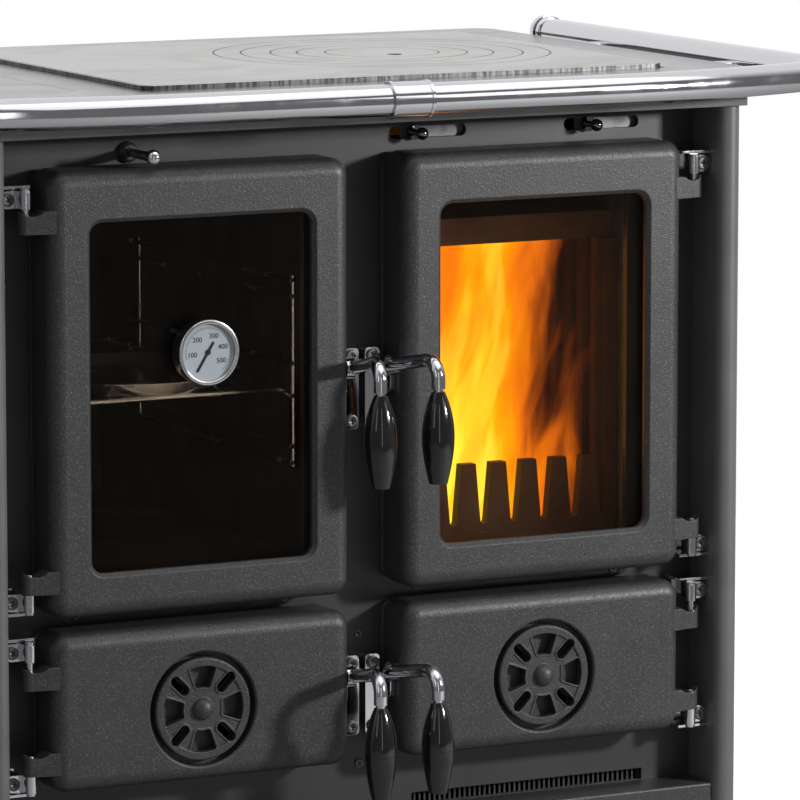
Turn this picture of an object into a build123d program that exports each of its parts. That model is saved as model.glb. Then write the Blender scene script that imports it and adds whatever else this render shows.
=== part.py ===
from build123d import *
import os
from collections import namedtuple
from math import asin, cos, degrees, radians, sin

# Wood-burning cookstove with an oven behind the left door and a firebox behind the right door.
# It is drawn in millimetres with X to the right, Y to the back and Z up from the floor, and with
# Y = 0 on the face of the front plate. The saved pieces have their origin on the floor, at the
# middle of the overall width and depth.

# ------------------------------------------------------------------ driving dimensions
# Body and columns
body_width = 726.0          # over the two side panels
body_depth = 520.0          # front plate's face to the back panel's outer face
side_depth = 22.0           # side panel, outer skin to inner flank
side_skin = 3.0
nose_reach = 51.0           # rounded column fronts, ahead of the front plate
flank_return = 30.0         # inner flank, behind the front plate's face
plate_thick = 6.0
back_thick = 6.0
back_rib_margin = 50.0      # pressed ribs, from the inner flank
back_rib_width = 30.0
back_rib_rise = 3.0
back_rib_end_gap = 70.0
plinth_height = 60.0
plinth_inset = 28.0
plinth_wall = 3.0
plinth_flange = 34.0
base_thick = 4.0
foot_radius = 20.0
foot_height = 8.0
foot_gap = 2.0
foot_bevel = 2.0
foot_stem_radius = 5.0
foot_stem_end = 6.0         # stem showing over its nut
foot_nut_radius = 8.5
foot_nut_height = 8.0

# Top frame, cooking plate and lids
top_height = 850.0          # floor to the top frame's surface
frame_side_overhang = 52.0
frame_front_overhang = 6.0  # ahead of the column noses
frame_back_overhang = 12.0
frame_thick = 12.0
frame_lip = 14.0            # lip below the plate, across the body's front
frame_lip_wall = 5.0
frame_corner = 22.0
frame_bevel = 2.0
hob_left = -170.0
hob_right_margin = 73.0     # to the frame's right edge
hob_front = 53.0
hob_back_margin = 77.0      # to the frame's back edge
hob_rise = 4.5
hob_thick = 10.0
hob_gap = 0.6
hob_ledge = 10.0
hob_clip = 8.5              # clipped front corners
hob_bevel = 1.0
lid_right_margin = 175.0    # lids' centre to the hob's right edge
lid_front_margin = 215.0    # lids' centre to the hob's front edge
lid_radii = (154.0, 129.0, 102.0, 78.0, 52.0)
lid_gap = 0.4
lid_seat = 5.0
lid_hole_radius = 7.0
cover_side_margin = 17.0    # to the frame's left edge
cover_hob_gap = 54.0
cover_front_step = 24.0     # behind the hob's front edge
cover_back_margin = 32.0
cover_thick = 6.0

# Rail round the top
rail_radius = 13.5
rail_wall = 1.5
rail_front_gap = 53.0       # rail's axis ahead of the top frame
rail_side_gap = 37.0        # rail's axis beside the top frame
rail_rise = 12.0            # rail's top over the top frame
rail_straight = 180.0
rail_bow_share = 52.0       # where the slow bow ends, inside the side length's axis
rail_bow_radius = 700.0
rail_back_margin = 55.0     # side length's end, ahead of the body's back
rail_cap_bead = 7.0
rail_cap_groove = 4.0
rail_cap_end = 11.0
rail_cap_rise = 2.0
rail_cap_round = 6.0
rail_sleeve_length = 38.0
rail_sleeve_wall = 1.8
rail_sleeve_bead = 3.0
rail_sleeve_bead_rise = 0.8
rail_post_radius = 5.0
rail_post_x = 221.0
rail_post_front_y = 100.0
rail_post_back_margin = 175.0

# Doors: the two on the left reach nearer to the middle than the two on the right
right_door_inner = 28.0     # meeting edges, from the middle
left_door_inner = 24.0
door_side_gap = 38.0        # outer edge to the column's flank
door_back_gap = 9.0
door_rim = 14.0
door_skin = 8.0
door_corner = 15.0
door_round = 13.0
upper_door_drop = 55.0      # below the top frame's surface
upper_door_height = 378.0
door_row_gap = 13.0
lower_door_height = 136.0
fire_window_inset = 35.5    # from the door's meeting edge
oven_window_inset = 36.0
window_outer_inset = 36.5
window_low_inset = 37.0
window_high_inset = 44.0
window_corner = 11.0
window_bevel = 3.5
glass_thick = 4.0
glass_overlap = 12.0
clip_width = 16.0
clip_height = 26.0
clip_thick = 2.0
clip_screw_radius = 4.0
clip_screw_head = 2.5
clip_screw_gap = 1.0
gasket_width = 10.0
gasket_gap = 0.3
gasket_inner_corner = 8.0

# Hinges
hinge_outset = 17.0         # pin's axis beside the door's edge
hinge_y = -38.0
lug_radius = 6.5
lug_height = 19.0
lug_saddle_radius = 13.5
lug_saddle_depth = 4.0
lug_saddle_shift = 4.0      # saddle's axis, from the pin towards the door
barrel_radius = 5.0
barrel_height = 15.0
pin_radius = 3.0
pin_clearance = 0.05
pin_head_radius = 4.0
pin_head_height = 2.0
pin_end_gap = 2.0           # pin's inner end to the lug's far face
upper_lug_drop = 32.5
upper_lug_rise = 22.5
upper_pin_gap = 2.0
lower_lug_drop = 27.0
lower_lug_rise = 16.5
lower_pin_gap = 5.0
bracket_thick = 2.5
bracket_flank_gap = 0.5
bracket_foot_width = 20.0
bracket_flange_width = 28.0
bracket_flange_gap = 1.5    # outer flange, beyond the barrel's end
bracket_leaf_front = 31.0   # leaf's face ahead of the front plate
screw_head_radius = 5.5
screw_head_height = 1.5

# Handles and keepers
handle_y = -35.0
upper_pivot_rise = 195.0    # handle's axis over the upper doors' lower edge
lower_pivot_rise = 75.0
handle_hub_radius = 9.0
handle_hub_width = 8.2
handle_gap = 0.3
handle_shaft_radius = 5.0
handle_washer_radius = 7.5
handle_washer_thick = 3.0
arm_radius = 6.0
arm_inset = 0.3             # arm's axis, outside the hub's inner face
arm_reach = 113.0
arm_rise = 15.0
arm_splay = 27.5
arm_drop = 13.5             # grip's top below the pivot
arm_neck_radius = 4.2
arm_neck_length = 2.5
elbow_radius = 15.0
grip_length = 79.0
grip_top_radius = 5.6
grip_mid_radius = 14.0
grip_end_radius = 8.0
grip_seam = 0.6
grip_seam_drop = 41.0       # below the grip's top, like the next two
grip_shoulder_radius = 11.2
grip_shoulder_drop = 16.0
grip_belly_radius = 12.0
grip_belly_drop = 60.0
latch_nose_width = 5.0
latch_nose_drop = 18.0
latch_nose_radius = 7.0
latch_nose_y = -25.0
keeper_inner = 3.0
keeper_outer = 17.0
keeper_above = 15.0
keeper_below = 55.0
keeper_foot = 14.0
keeper_standoff = 20.0
keeper_thick = 3.0
keeper_corner = 3.5

# Air wheels on the lower doors
wheel_outer_inset = 138.0   # wheel's centre from the door's outer edge
wheel_rise = 62.0           # and over the door's lower edge
wheel_recess_radius = 49.5
wheel_recess_depth = 12.0
wheel_recess_bevel = 1.5
wheel_floor = 8.0
wheel_radius = 44.5
wheel_thick = 9.0
wheel_sink = 0.5
wheel_rim_step = 1.4
wheel_rim_bevel = 1.2
wheel_window_inner = 18.5
wheel_window_outer = 37.5
wheel_window_angle = 20.0
wheel_window_corner = 2.0
wheel_slot_width = 9.0
wheel_slot_inner = 20.0
wheel_slot_outer = 41.0
wheel_slot_cover = 1.0      # the door's holes are smaller than the slots, all round
wheel_bead_width = 1.3
wheel_bead_rise = 0.9
wheel_knob_radius = 10.5
wheel_knob_sink = 3.0
wheel_hub_radius = 12.0
wheel_spindle_radius = 5.0
wheel_spindle_end = 4.0
wheel_washer_gap = 0.3
wheel_washer_thick = 3.0

# Front plate openings and controls
right_opening_inner = 55.0
left_opening_inner = 45.0
opening_outer_inset = 29.0  # from the door's outer edge
opening_corner = 6.0
upper_opening_low_inset = 28.0
upper_opening_high_inset = 35.0
lower_opening_low_inset = 17.0
lower_opening_high_inset = 16.0
register_rise = 14.0        # over the upper doors
register_height = 10.5
register_corner = 5.2
register_length = 75.0
register_left_start = 38.0
register_right_margin = 131.0   # right slot's start to the column's flank
register_knob_offset = 23.0
slider_thick = 1.5
slider_height = 20.0
slider_tail = 58.0
slider_gap = 0.3
slider_nose = 9.0
guide_wall = 2.0
guide_hook = 4.0
guide_left_reach = 14.0
guide_right_reach = 40.0
knob_collar_radius = 6.5
knob_collar_thick = 5.0
knob_ball_radius = 5.5
knob_ball_reach = 18.0
knob_stem_radius = 3.0
bypass_x = -210.0
bypass_rise = 9.0           # over the upper doors
bypass_rod_radius = 4.0
bypass_ball_radius = 6.5
bypass_cone_radius = 5.5
bypass_cone_length = 16.0
bypass_reach = 53.0
bypass_rod_end = 210.0
bypass_bush_radius = 9.0
bypass_bush_reach = 6.0
bypass_bush_bevel = 3.0
bypass_bush_step = 2.0
bypass_bush_tail = 8.0
bypass_flap_width = 110.0
bypass_flap_height = 40.0
bypass_flap_thick = 3.0
vent_left = 60.0
vent_right_margin = 49.0    # to the column's flank
vent_height = 10.0
vent_edge = 0.4             # slot's lower edge over the base rail's ledge
vent_mesh_thick = 1.0
vent_mesh_overlap = 6.0
vent_hole_pitch = 5.0
vent_hole_width = 3.0

plate_screw_radius = 4.0
plate_screw_mid = 8.0
plate_screw_mid_rises = (105.0, -11.0)     # over the lower doors' lower edge
plate_screw_row_inner = 65.0
plate_screw_row_margin = 80.0              # outer one, to the column's flank
plate_screw_edge_margin = 16.0
plate_screw_edge_rise = 278.0              # over the upper doors' lower edge

# Inside of the stove
sheet = 2.5
inner_back_gap = 90.0       # oven and firebox, ahead of the body's back
tray_radius = 103.0
tray_y = 122.0
tray_height = 11.0
tray_wall = 1.2
tray_flare = 6.0
wire_radius = 2.0
wire_cross_radius = 1.7     # short cross wires, thinner than the rails they join
upright_radius = 2.5
rack_front = 15.0
rack_back_margin = 95.0     # rear uprights, ahead of the oven's back
rack_rail_nose = 5.0
rack_rail_tail = 12.0
rack_rises = (80.5, 95.0, 139.0, 167.5, 225.5, 240.0)      # rails over the oven's floor
rack_shelf_rail = 2         # the rail that carries the shelf, counted from 0
rack_upright_end = 3.5      # upright's end beyond the outer rails
shelf_front = 26.0
shelf_back_margin = 40.0
shelf_bars = 8
shelf_gap = 0.4
fire_inner = 45.0
fire_side_gap = 49.0        # firebox's outer wall to the column's flank
fire_floor_drop = 20.0      # below the upper opening
casing_rise = 20.0          # over the upper opening
lining_thick = 12.0
lining_guard_gap = 6.0
lining_drop = 60.0          # below the upper opening's top
rib_depth = 6.0
rib_width = 9.0
rib_pitch = 24.0
grate_side_margin = 43.0
grate_front = 90.0
grate_back_margin = 60.0
grate_thick = 14.0
grate_rest = 8.0            # grate's edge on the floor round the hole
grate_slots = 11
grate_slot_width = 9.0
grate_slot_end = 12.0
guard_y = 34.0
guard_thick = 10.0
guard_left_gap = 13.0
guard_right_gap = 21.2
guard_teeth = 7
guard_tip_width = 14.0
guard_valley_radius = 3.5
guard_tip_rise = 83.0       # over the firebox floor
guard_valley_rise = 32.0
guard_ledge_rise = 22.0
guard_ledge_depth = 6.0
baffle_front = 60.0
baffle_fold_rise = 24.0
baffle_back_margin = 90.0
baffle_top_gap = 10.0
baffle_thick = 5.0
liner_back_gap = 10.0       # lower liners, ahead of the oven's back
ash_pan_height = 60.0
ash_pan_front = 12.0
ash_pan_back_gap = 24.0
ash_pan_wall = 1.5
ash_pan_side_gap = 9.0
ash_pan_lip_width = 80.0
ash_pan_lip_reach = 14.0

# Base drawer and fixed rail above it
ledge_drop = 53.0           # ledge below the lower doors
ledge_thick = 4.0
base_reach = 42.0           # base rail's and drawer's faces, ahead of the front plate
base_rail_height = 35.0
base_front_thick = 8.0
base_front_round = 2.0
drawer_floor_gap = 2.0      # drawer front over the base plate
drawer_side_gap = 3.5
drawer_rail_gap = 3.0
drawer_side_inset = 41.0    # drawer box, inside the column's flank
drawer_floor_rise = 8.0     # drawer box over the base plate
drawer_head_gap = 12.0      # drawer box below the base rail
drawer_wall = 1.5
runner_width = 34.0
runner_wall = 3.0

# Flue outlet on the back
flue_x = -165.0
flue_drop = 160.0           # axis below the top frame's surface
flue_bore_radius = 75.0
flue_wall = 3.0
flue_length = 40.0
flue_flange = 16.0
flue_flange_thick = 3.0

# Thermometer on the oven glass
gauge_outer_inset = 141.5   # centre from the door's outer edge
gauge_rise = 183.0          # and over the window's lower edge
gauge_radius = 28.0
gauge_depth = 16.0
gauge_rim = 4.0
gauge_rim_round = 1.8
gauge_face_sink = 4.0
gauge_dial_thick = 1.0
needle_length = 19.0
needle_tail = 10.0
needle_width = 1.8
needle_thick = 0.8
needle_gap = 0.3
needle_angle = 32.0         # tail's turn, clockwise from twelve o'clock
needle_hub_radius = 2.4

# ------------------------------------------------------------------ places worked out from them
flank_x = body_width / 2 - side_depth
nose_radius = side_depth / 2
frame_half_width = body_width / 2 + frame_side_overhang
frame_front = nose_reach + frame_front_overhang
frame_back = body_depth + frame_back_overhang
frame_under = top_height - frame_thick
base_top = plinth_height + base_thick
hob_top = top_height + hob_rise
hob_right = frame_half_width - hob_right_margin
hob_back = frame_back - hob_back_margin
lid_x = hob_right - lid_right_margin
lid_y = hob_front + lid_front_margin
cover_left = -frame_half_width + cover_side_margin
cover_right = hob_left - cover_hob_gap
cover_front = hob_front + cover_front_step
cover_back = frame_back - cover_back_margin
rail_z = top_height + rail_rise - rail_radius
rail_reach = frame_front + rail_front_gap
rail_half_span = frame_half_width + rail_side_gap
rail_bow_end = rail_half_span - rail_bow_share
rail_back = body_depth - rail_back_margin
rail_post_z = top_height - frame_thick / 2

door_outer = flank_x - door_side_gap
door_back = -door_back_gap
door_front = -nose_reach
door_thick = door_back - door_front
glass_front = door_front + door_skin
glass_back = glass_front + glass_thick
upper_high = top_height - upper_door_drop
upper_low = upper_high - upper_door_height
lower_high = upper_low - door_row_gap
lower_low = lower_high - lower_door_height
window_low = upper_low + window_low_inset
window_high = upper_high - window_high_inset
window_outer = door_outer - window_outer_inset
hinge_x = door_outer + hinge_outset
bracket_outer = flank_x - bracket_flank_gap
wheel_x = door_outer - wheel_outer_inset
wheel_z = lower_low + wheel_rise

opening_outer = door_outer - opening_outer_inset
upper_opening_low = upper_low + upper_opening_low_inset
upper_opening_high = upper_high - upper_opening_high_inset
lower_opening_low = lower_low + lower_opening_low_inset
lower_opening_high = lower_high - lower_opening_high_inset
register_z = upper_high + register_rise
register_starts = (register_left_start, flank_x - register_right_margin)
bypass_z = upper_high + bypass_rise
ledge_z = lower_low - ledge_drop
base_rail_low = ledge_z - base_rail_height
drawer_low = base_top + drawer_floor_gap
drawer_floor = base_top + drawer_floor_rise
drawer_head = base_rail_low - drawer_head_gap
drawer_half_width = flank_x - drawer_side_inset
vent_right = flank_x - vent_right_margin
vent_low = ledge_z + vent_edge
vent_high = vent_low + vent_height

inner_back = body_depth - inner_back_gap
rack_back = inner_back - rack_back_margin
shelf_back = inner_back - shelf_back_margin
rack_heights = [upper_opening_low + rise for rise in rack_rises]
shelf_rail_z = rack_heights[rack_shelf_rail]
fire_outer = flank_x - fire_side_gap
fire_floor = upper_opening_low - fire_floor_drop
casing_high = upper_opening_high + casing_rise
lining_high = upper_opening_high - lining_drop
grate_left = fire_inner + grate_side_margin
grate_right = fire_outer - grate_side_margin
grate_back = inner_back - grate_back_margin
guard_left = fire_inner + guard_left_gap
guard_right = fire_outer - guard_right_gap
guard_pitch = (guard_right - guard_left) / guard_teeth
guard_tip_z = fire_floor + guard_tip_rise
guard_valley_z = fire_floor + guard_valley_rise
guard_ledge_z = fire_floor + guard_ledge_rise
baffle_fold_z = lining_high + baffle_fold_rise
baffle_rear_y = inner_back - baffle_back_margin
baffle_rear_z = casing_high - baffle_top_gap
liner_back = inner_back - liner_back_gap
ash_pan_back = liner_back - ash_pan_back_gap

flue_z = top_height - flue_drop
gauge_x = -(door_outer - gauge_outer_inset)
gauge_z = window_low + gauge_rise
front_reach = arm_reach + grip_mid_radius
back_reach = body_depth + flue_length
origin_y = (back_reach - front_reach) / 2

Door = namedtuple("Door", "inner window_inner low high lug_drop lug_rise pin_gap pivot")
upper_sizes = (upper_low, upper_high, upper_lug_drop, upper_lug_rise, upper_pin_gap,
               upper_low + upper_pivot_rise)
lower_sizes = (lower_low, lower_high, lower_lug_drop, lower_lug_rise, lower_pin_gap,
               lower_low + lower_pivot_rise)
fire_door = Door(right_door_inner, right_door_inner + fire_window_inset, *upper_sizes)
oven_door = Door(left_door_inner, left_door_inner + oven_window_inset, *upper_sizes)
ash_door = Door(right_door_inner, None, *lower_sizes)
lower_left_door = Door(left_door_inner, None, *lower_sizes)


# ------------------------------------------------------------------ shared forms
def block(x0, x1, y0, y1, z0, z1):
    """A straight-sided solid between two corners."""
    centre = Pos((x0 + x1) / 2, (y0 + y1) / 2, (z0 + z1) / 2)
    return centre * Box(x1 - x0, y1 - y0, z1 - z0)


def rod(start, end, radius):
    """A round bar between two points."""
    start = Vector(*start)
    run = Vector(*end) - start
    return Solid.make_cylinder(radius, run.length, Plane(origin=start, z_dir=run))


def facing(x, y, z):
    """A drawing plane that faces the viewer, with its own X to the right and Y up."""
    return Plane(origin=(x, y, z), x_dir=(1, 0, 0), z_dir=(0, -1, 0))


def slab(x0, x1, y0, y1, z0, z1, corner):
    """A plate that faces the viewer, with rounded corners."""
    outline = RectangleRounded(x1 - x0, z1 - z0, corner)
    return extrude(facing((x0 + x1) / 2, y1, (z0 + z1) / 2) * outline, y1 - y0)


def tray(x0, x1, y0, y1, z0, z1, wall):
    """An open box of sheet metal."""
    hollow = block(x0 + wall, x1 - wall, y0 + wall, y1 - wall, z0 + wall, z1 + wall)
    return block(x0, x1, y0, y1, z0, z1) - hollow


def mirrored(shape):
    """The same piece for the other side of the stove."""
    return shape.mirror(Plane.YZ)


def save(node, *pieces):
    """Writes one node, moved to the stove's own origin."""
    solids = [Pos(0, -origin_y, 0) * solid for piece in pieces for solid in piece.solids()]
    shape = solids[0] if len(solids) == 1 else Compound(solids)
    export_step(shape, f"parts/{node}.step")


os.makedirs("parts", exist_ok=True)


# ------------------------------------------------------------------ plinth and levelling feet
def base_plinth():
    """A folded sheet ring, open in the middle, with an inward flange that takes the feet."""
    half = body_width / 2 - plinth_inset
    front = plinth_inset - nose_reach
    back = body_depth - plinth_inset
    low = foot_height + foot_gap
    ring = block(-half, half, front, back, low, plinth_height)
    inner = block(-half + plinth_wall, half - plinth_wall, front + plinth_wall, back - plinth_wall,
                  low + plinth_wall, plinth_height)
    opening = block(-half + plinth_flange, half - plinth_flange, front + plinth_flange,
                    back - plinth_flange, low, plinth_height)
    ring = ring - inner - opening
    for x, y in foot_places():
        ring -= rod((x, y, low), (x, y, low + plinth_wall), foot_stem_radius)
    return ring


def foot_places():
    """The four feet stand in the middle of the plinth's flange corners."""
    half = body_width / 2 - plinth_inset - plinth_flange / 2
    front = plinth_inset - nose_reach + plinth_flange / 2
    back = body_depth - plinth_inset - plinth_flange / 2
    return [(x, y) for x in (-half, half) for y in (front, back)]


def levelling_feet():
    """Pad and screw in one piece, with a nut each side of the flange left to the upper one."""
    flange_top = foot_height + foot_gap + plinth_wall
    pieces = []
    for x, y in foot_places():
        pad = rod((x, y, 0), (x, y, foot_height), foot_radius)
        pad = chamfer(pad.edges().group_by(Axis.Z)[-1], foot_bevel)
        stem = rod((x, y, foot_height), (x, y, flange_top + foot_nut_height + foot_stem_end),
                   foot_stem_radius)
        nut = extrude(Pos(x, y, flange_top) * RegularPolygon(foot_nut_radius, 6), foot_nut_height)
        pieces.append(pad + stem)
        pieces.append(nut - stem)
    return pieces


def drawer_runner():
    """Right runner: an angle on the base plate that the drawer's floor slides on."""
    inner = drawer_half_width - runner_width / 2
    outer = inner + runner_width
    top = drawer_floor - shelf_gap
    runner = block(inner, outer, plate_thick, inner_back, top - runner_wall, top)
    return runner + block(outer - runner_wall, outer, plate_thick, inner_back, base_top, top)


base_plate = block(-body_width / 2, body_width / 2, plinth_inset / 2 - nose_reach, body_depth,
                   plinth_height, base_top)
save("base_frame", base_plinth(), base_plate, drawer_runner(), mirrored(drawer_runner()))
save("levelling_feet", *levelling_feet())


# ------------------------------------------------------------------ side panels, back and front
def side_panel():
    """Right panel: one folded sheet with an outer skin, a half-round nose and an inner flank."""
    mid_x = body_width / 2 - nose_radius
    nose_y = -nose_reach + nose_radius

    def fold(inset, rear):
        radius = nose_radius - inset
        strip = Pos(mid_x, (nose_y + rear) / 2) * Rectangle(2 * radius, rear - nose_y)
        return strip + Pos(mid_x, nose_y) * Circle(radius)

    profile = fold(0, body_depth) - fold(side_skin, body_depth + 1)
    behind = Pos(flank_x + side_skin / 2, (flank_return + body_depth) / 2)
    profile -= behind * Rectangle(side_skin, body_depth - flank_return)
    return extrude(Pos(0, 0, base_top) * profile, frame_under - base_top)


def back_panel():
    """Rear sheet between the side panels, with the flue hole and two pressed stiffening ribs."""
    inner = body_width / 2 - side_skin
    panel = block(-inner, inner, body_depth - back_thick, body_depth, base_top, frame_under)
    panel -= rod((flue_x, body_depth - back_thick, flue_z), (flue_x, body_depth, flue_z),
                 flue_bore_radius + flue_wall)
    outer = flank_x - back_rib_margin
    rib = block(outer - back_rib_width, outer, body_depth, body_depth + back_rib_rise,
                base_top + back_rib_end_gap, frame_under - back_rib_end_gap)
    rib = chamfer(rib.faces().sort_by(Axis.Y)[-1].edges(), back_rib_rise / 2)
    return panel + rib + mirrored(rib)


def flue_collar():
    """Round spigot for the flue pipe, flanged against the back panel."""
    inside = body_depth - back_thick
    outside = body_depth + flue_length
    outer = flue_bore_radius + flue_wall
    tube = rod((flue_x, inside, flue_z), (flue_x, outside, flue_z), outer)
    flange = rod((flue_x, body_depth, flue_z), (flue_x, body_depth + flue_flange_thick, flue_z),
                 outer + flue_flange)
    bore = rod((flue_x, inside, flue_z), (flue_x, outside, flue_z), flue_bore_radius)
    return tube + flange - bore


def front_plate():
    """Cast front between the columns, with the door openings and the slots for the controls."""
    plate = block(-flank_x, flank_x, 0, plate_thick, base_rail_low, frame_under)
    for low, high in ((upper_opening_low, upper_opening_high), (lower_opening_low, lower_opening_high)):
        plate -= slab(right_opening_inner, opening_outer, 0, plate_thick, low, high, opening_corner)
        plate -= slab(-opening_outer, -left_opening_inner, 0, plate_thick, low, high, opening_corner)
    for start in register_starts:
        plate -= slab(start, start + register_length, 0, plate_thick, register_z - register_height / 2,
                      register_z + register_height / 2, register_corner)
    plate -= rod((bypass_x, 0, bypass_z), (bypass_x, plate_thick, bypass_z),
                 bypass_bush_radius - bypass_bush_step)
    plate -= block(vent_left, vent_right, 0, plate_thick, vent_low, vent_high)
    return plate


def vent_mesh():
    """Slotted strip behind the low air slot."""
    back = plate_thick + vent_mesh_thick
    strip = block(vent_left - vent_mesh_overlap, vent_right + vent_mesh_overlap, plate_thick, back,
                  vent_low - vent_mesh_overlap, vent_high + vent_mesh_overlap)
    count = int((vent_right - vent_left) / vent_hole_pitch)
    first = (vent_left + vent_right - (count - 1) * vent_hole_pitch) / 2
    hole = Pos(0, (vent_low + vent_high) / 2) * Rectangle(vent_hole_width, vent_high - vent_low)
    holes = Sketch([Pos(first + i * vent_hole_pitch, 0) * hole for i in range(count)])
    return strip - extrude(facing(0, back, 0) * holes, vent_mesh_thick)


right_panel = side_panel()
save("side_panel_right", right_panel)
save("side_panel_left", mirrored(right_panel))
save("back_panel", back_panel())
save("flue_collar", flue_collar())


# ------------------------------------------------------------------ top frame, hob and lids
def top_frame():
    """Cast frame with a lip below its front, a rebate for the hob and a recess for the cover."""
    mid_y = (frame_back - frame_front) / 2
    outline = RectangleRounded(2 * frame_half_width, frame_back + frame_front, frame_corner)
    frame = extrude(Pos(0, mid_y, frame_under) * outline, frame_thick)
    frame = chamfer(frame.edges().group_by(Axis.Z)[-1], frame_bevel)
    frame += block(-body_width / 2, body_width / 2, -frame_front, frame_lip_wall - frame_front,
                   frame_under - frame_lip, frame_under)
    seat = hob_top - hob_thick
    frame -= block(hob_left - hob_gap, hob_right + hob_gap, hob_front - hob_gap, hob_back + hob_gap,
                   seat, top_height)
    frame -= block(hob_left + hob_ledge, hob_right - hob_ledge, hob_front + hob_ledge,
                   hob_back - hob_ledge, frame_under, top_height)
    frame -= block(cover_left - hob_gap, cover_right + hob_gap, cover_front - hob_gap,
                   cover_back + hob_gap, top_height - cover_thick, top_height)
    return frame


def lid_step(radius):
    """The stepped hole that a lid of this radius drops into."""
    middle = hob_top - hob_thick / 2
    upper_part = rod((lid_x, lid_y, middle), (lid_x, lid_y, hob_top), radius + lid_gap)
    lower_part = rod((lid_x, lid_y, hob_top - hob_thick), (lid_x, lid_y, middle),
                     radius - lid_seat + lid_gap)
    return upper_part + lower_part


def lid_blank(radius):
    """A stepped disc: the wide upper half rests on the seat of the piece round it."""
    middle = hob_top - hob_thick / 2
    upper_part = rod((lid_x, lid_y, middle), (lid_x, lid_y, hob_top), radius)
    lower_part = rod((lid_x, lid_y, hob_top - hob_thick), (lid_x, lid_y, middle), radius - lid_seat)
    return upper_part + lower_part


def hob_plate():
    """Ground cast-iron cooking plate with clipped front corners and the hole for the lids."""
    plate = block(hob_left, hob_right, hob_front, hob_back, hob_top - hob_thick, hob_top)
    plate = chamfer(plate.edges().filter_by(Axis.Z).group_by(Axis.Y)[0], hob_clip)
    plate = chamfer(plate.edges().group_by(Axis.Z)[-1], hob_bevel)
    return plate - lid_step(lid_radii[0])


save("top_frame", top_frame())
save("cover_plate", block(cover_left, cover_right, cover_front, cover_back,
                          top_height - cover_thick, top_height))
save("hob_plate", hob_plate())
for index, outer_radius in enumerate(lid_radii[:-1]):
    save(f"hob_ring_{index + 1}", lid_blank(outer_radius) - lid_step(lid_radii[index + 1]))
lifting_hole = rod((lid_x, lid_y - lid_radii[-1] / 2, hob_top - hob_thick / 2),
                   (lid_x, lid_y - lid_radii[-1] / 2, hob_top), lid_hole_radius)
save("hob_disc", lid_blank(lid_radii[-1]) - lifting_hole)


# ------------------------------------------------------------------ rail
def rail_path():
    """Right half of the rail's axis: straight front, slow bow, corner and straight side."""
    bow = degrees(asin((rail_bow_end - rail_straight) / rail_bow_radius))
    bow_y = -rail_reach + rail_bow_radius * (1 - cos(radians(bow)))
    corner = (rail_half_span - rail_bow_end) / (1 - sin(radians(bow)))
    corner_x = rail_half_span - corner
    corner_y = bow_y + corner * cos(radians(bow))
    front = Line((0, -rail_reach, rail_z), (rail_straight, -rail_reach, rail_z))
    slow = CenterArc((rail_straight, rail_bow_radius - rail_reach, rail_z), rail_bow_radius, -90, bow)
    turn = CenterArc((corner_x, corner_y, rail_z), corner, bow - 90, 90 - bow)
    side = Line((rail_half_span, corner_y, rail_z), (rail_half_span, rail_back, rail_z))
    return Wire([front, slow, turn, side])


def rail_tube(radius):
    """The rail's outer or inner form, swept along its axis."""
    section = Plane(origin=(0, -rail_reach, rail_z), z_dir=(1, 0, 0)) * Circle(radius)
    return sweep(section, path=rail_path())


def rail_sleeve():
    """Joining sleeve at the middle of the front, with a small bead at each end."""
    half = rail_sleeve_length / 2
    outer = rail_radius + rail_sleeve_wall
    tube = rod((-half, -rail_reach, rail_z), (half, -rail_reach, rail_z), outer)
    for start in (-half, half - rail_sleeve_bead):
        tube += rod((start, -rail_reach, rail_z), (start + rail_sleeve_bead, -rail_reach, rail_z),
                    outer + rail_sleeve_bead_rise)
    return tube - rod((-half, -rail_reach, rail_z), (half, -rail_reach, rail_z), rail_radius)


def rail_end_cap():
    """Turned cap on the rear end of the right side length: a bead, a groove and a rounded end."""
    groove_y = rail_back + rail_cap_bead
    tail_y = groove_y + rail_cap_groove
    outer = rail_radius + rail_cap_rise
    bead = rod((rail_half_span, rail_back, rail_z), (rail_half_span, groove_y, rail_z), outer)
    bead = fillet(bead.edges().filter_by(GeomType.CIRCLE), rail_cap_rise)
    neck = rod((rail_half_span, groove_y, rail_z), (rail_half_span, tail_y, rail_z),
               rail_radius - rail_wall)
    tail = rod((rail_half_span, tail_y, rail_z), (rail_half_span, tail_y + rail_cap_end, rail_z), outer)
    tail = fillet(tail.faces().sort_by(Axis.Y)[-1].edges(), rail_cap_round)
    return bead + neck + tail


def rail_posts(outer_form):
    """Stand-offs from the top frame's edge to the right half of the rail."""
    posts = [rod((rail_post_x, -frame_front, rail_post_z), (rail_post_x, -rail_reach, rail_post_z),
                 rail_post_radius)]
    for y in (rail_post_front_y, body_depth - rail_post_back_margin):
        posts.append(rod((frame_half_width, y, rail_post_z), (rail_half_span, y, rail_post_z),
                         rail_post_radius))
    return [post - outer_form for post in posts]


outer_rail = rail_tube(rail_radius)
right_rail = outer_rail - rail_tube(rail_radius - rail_wall)
right_posts = rail_posts(outer_rail)
save("rail_right", right_rail)
save("rail_left", mirrored(right_rail))
save("rail_fittings", rail_sleeve(), rail_end_cap(), mirrored(rail_end_cap()))
save("rail_posts", *right_posts, *[mirrored(post) for post in right_posts])


# ------------------------------------------------------------------ doors
def top_lug(door):
    """Bottom and top of the upper lug."""
    high = door.high - door.lug_drop
    return high - lug_height, high


def bottom_lug(door):
    """Bottom and top of the lower lug."""
    low = door.low + door.lug_rise
    return low, low + lug_height


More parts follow.
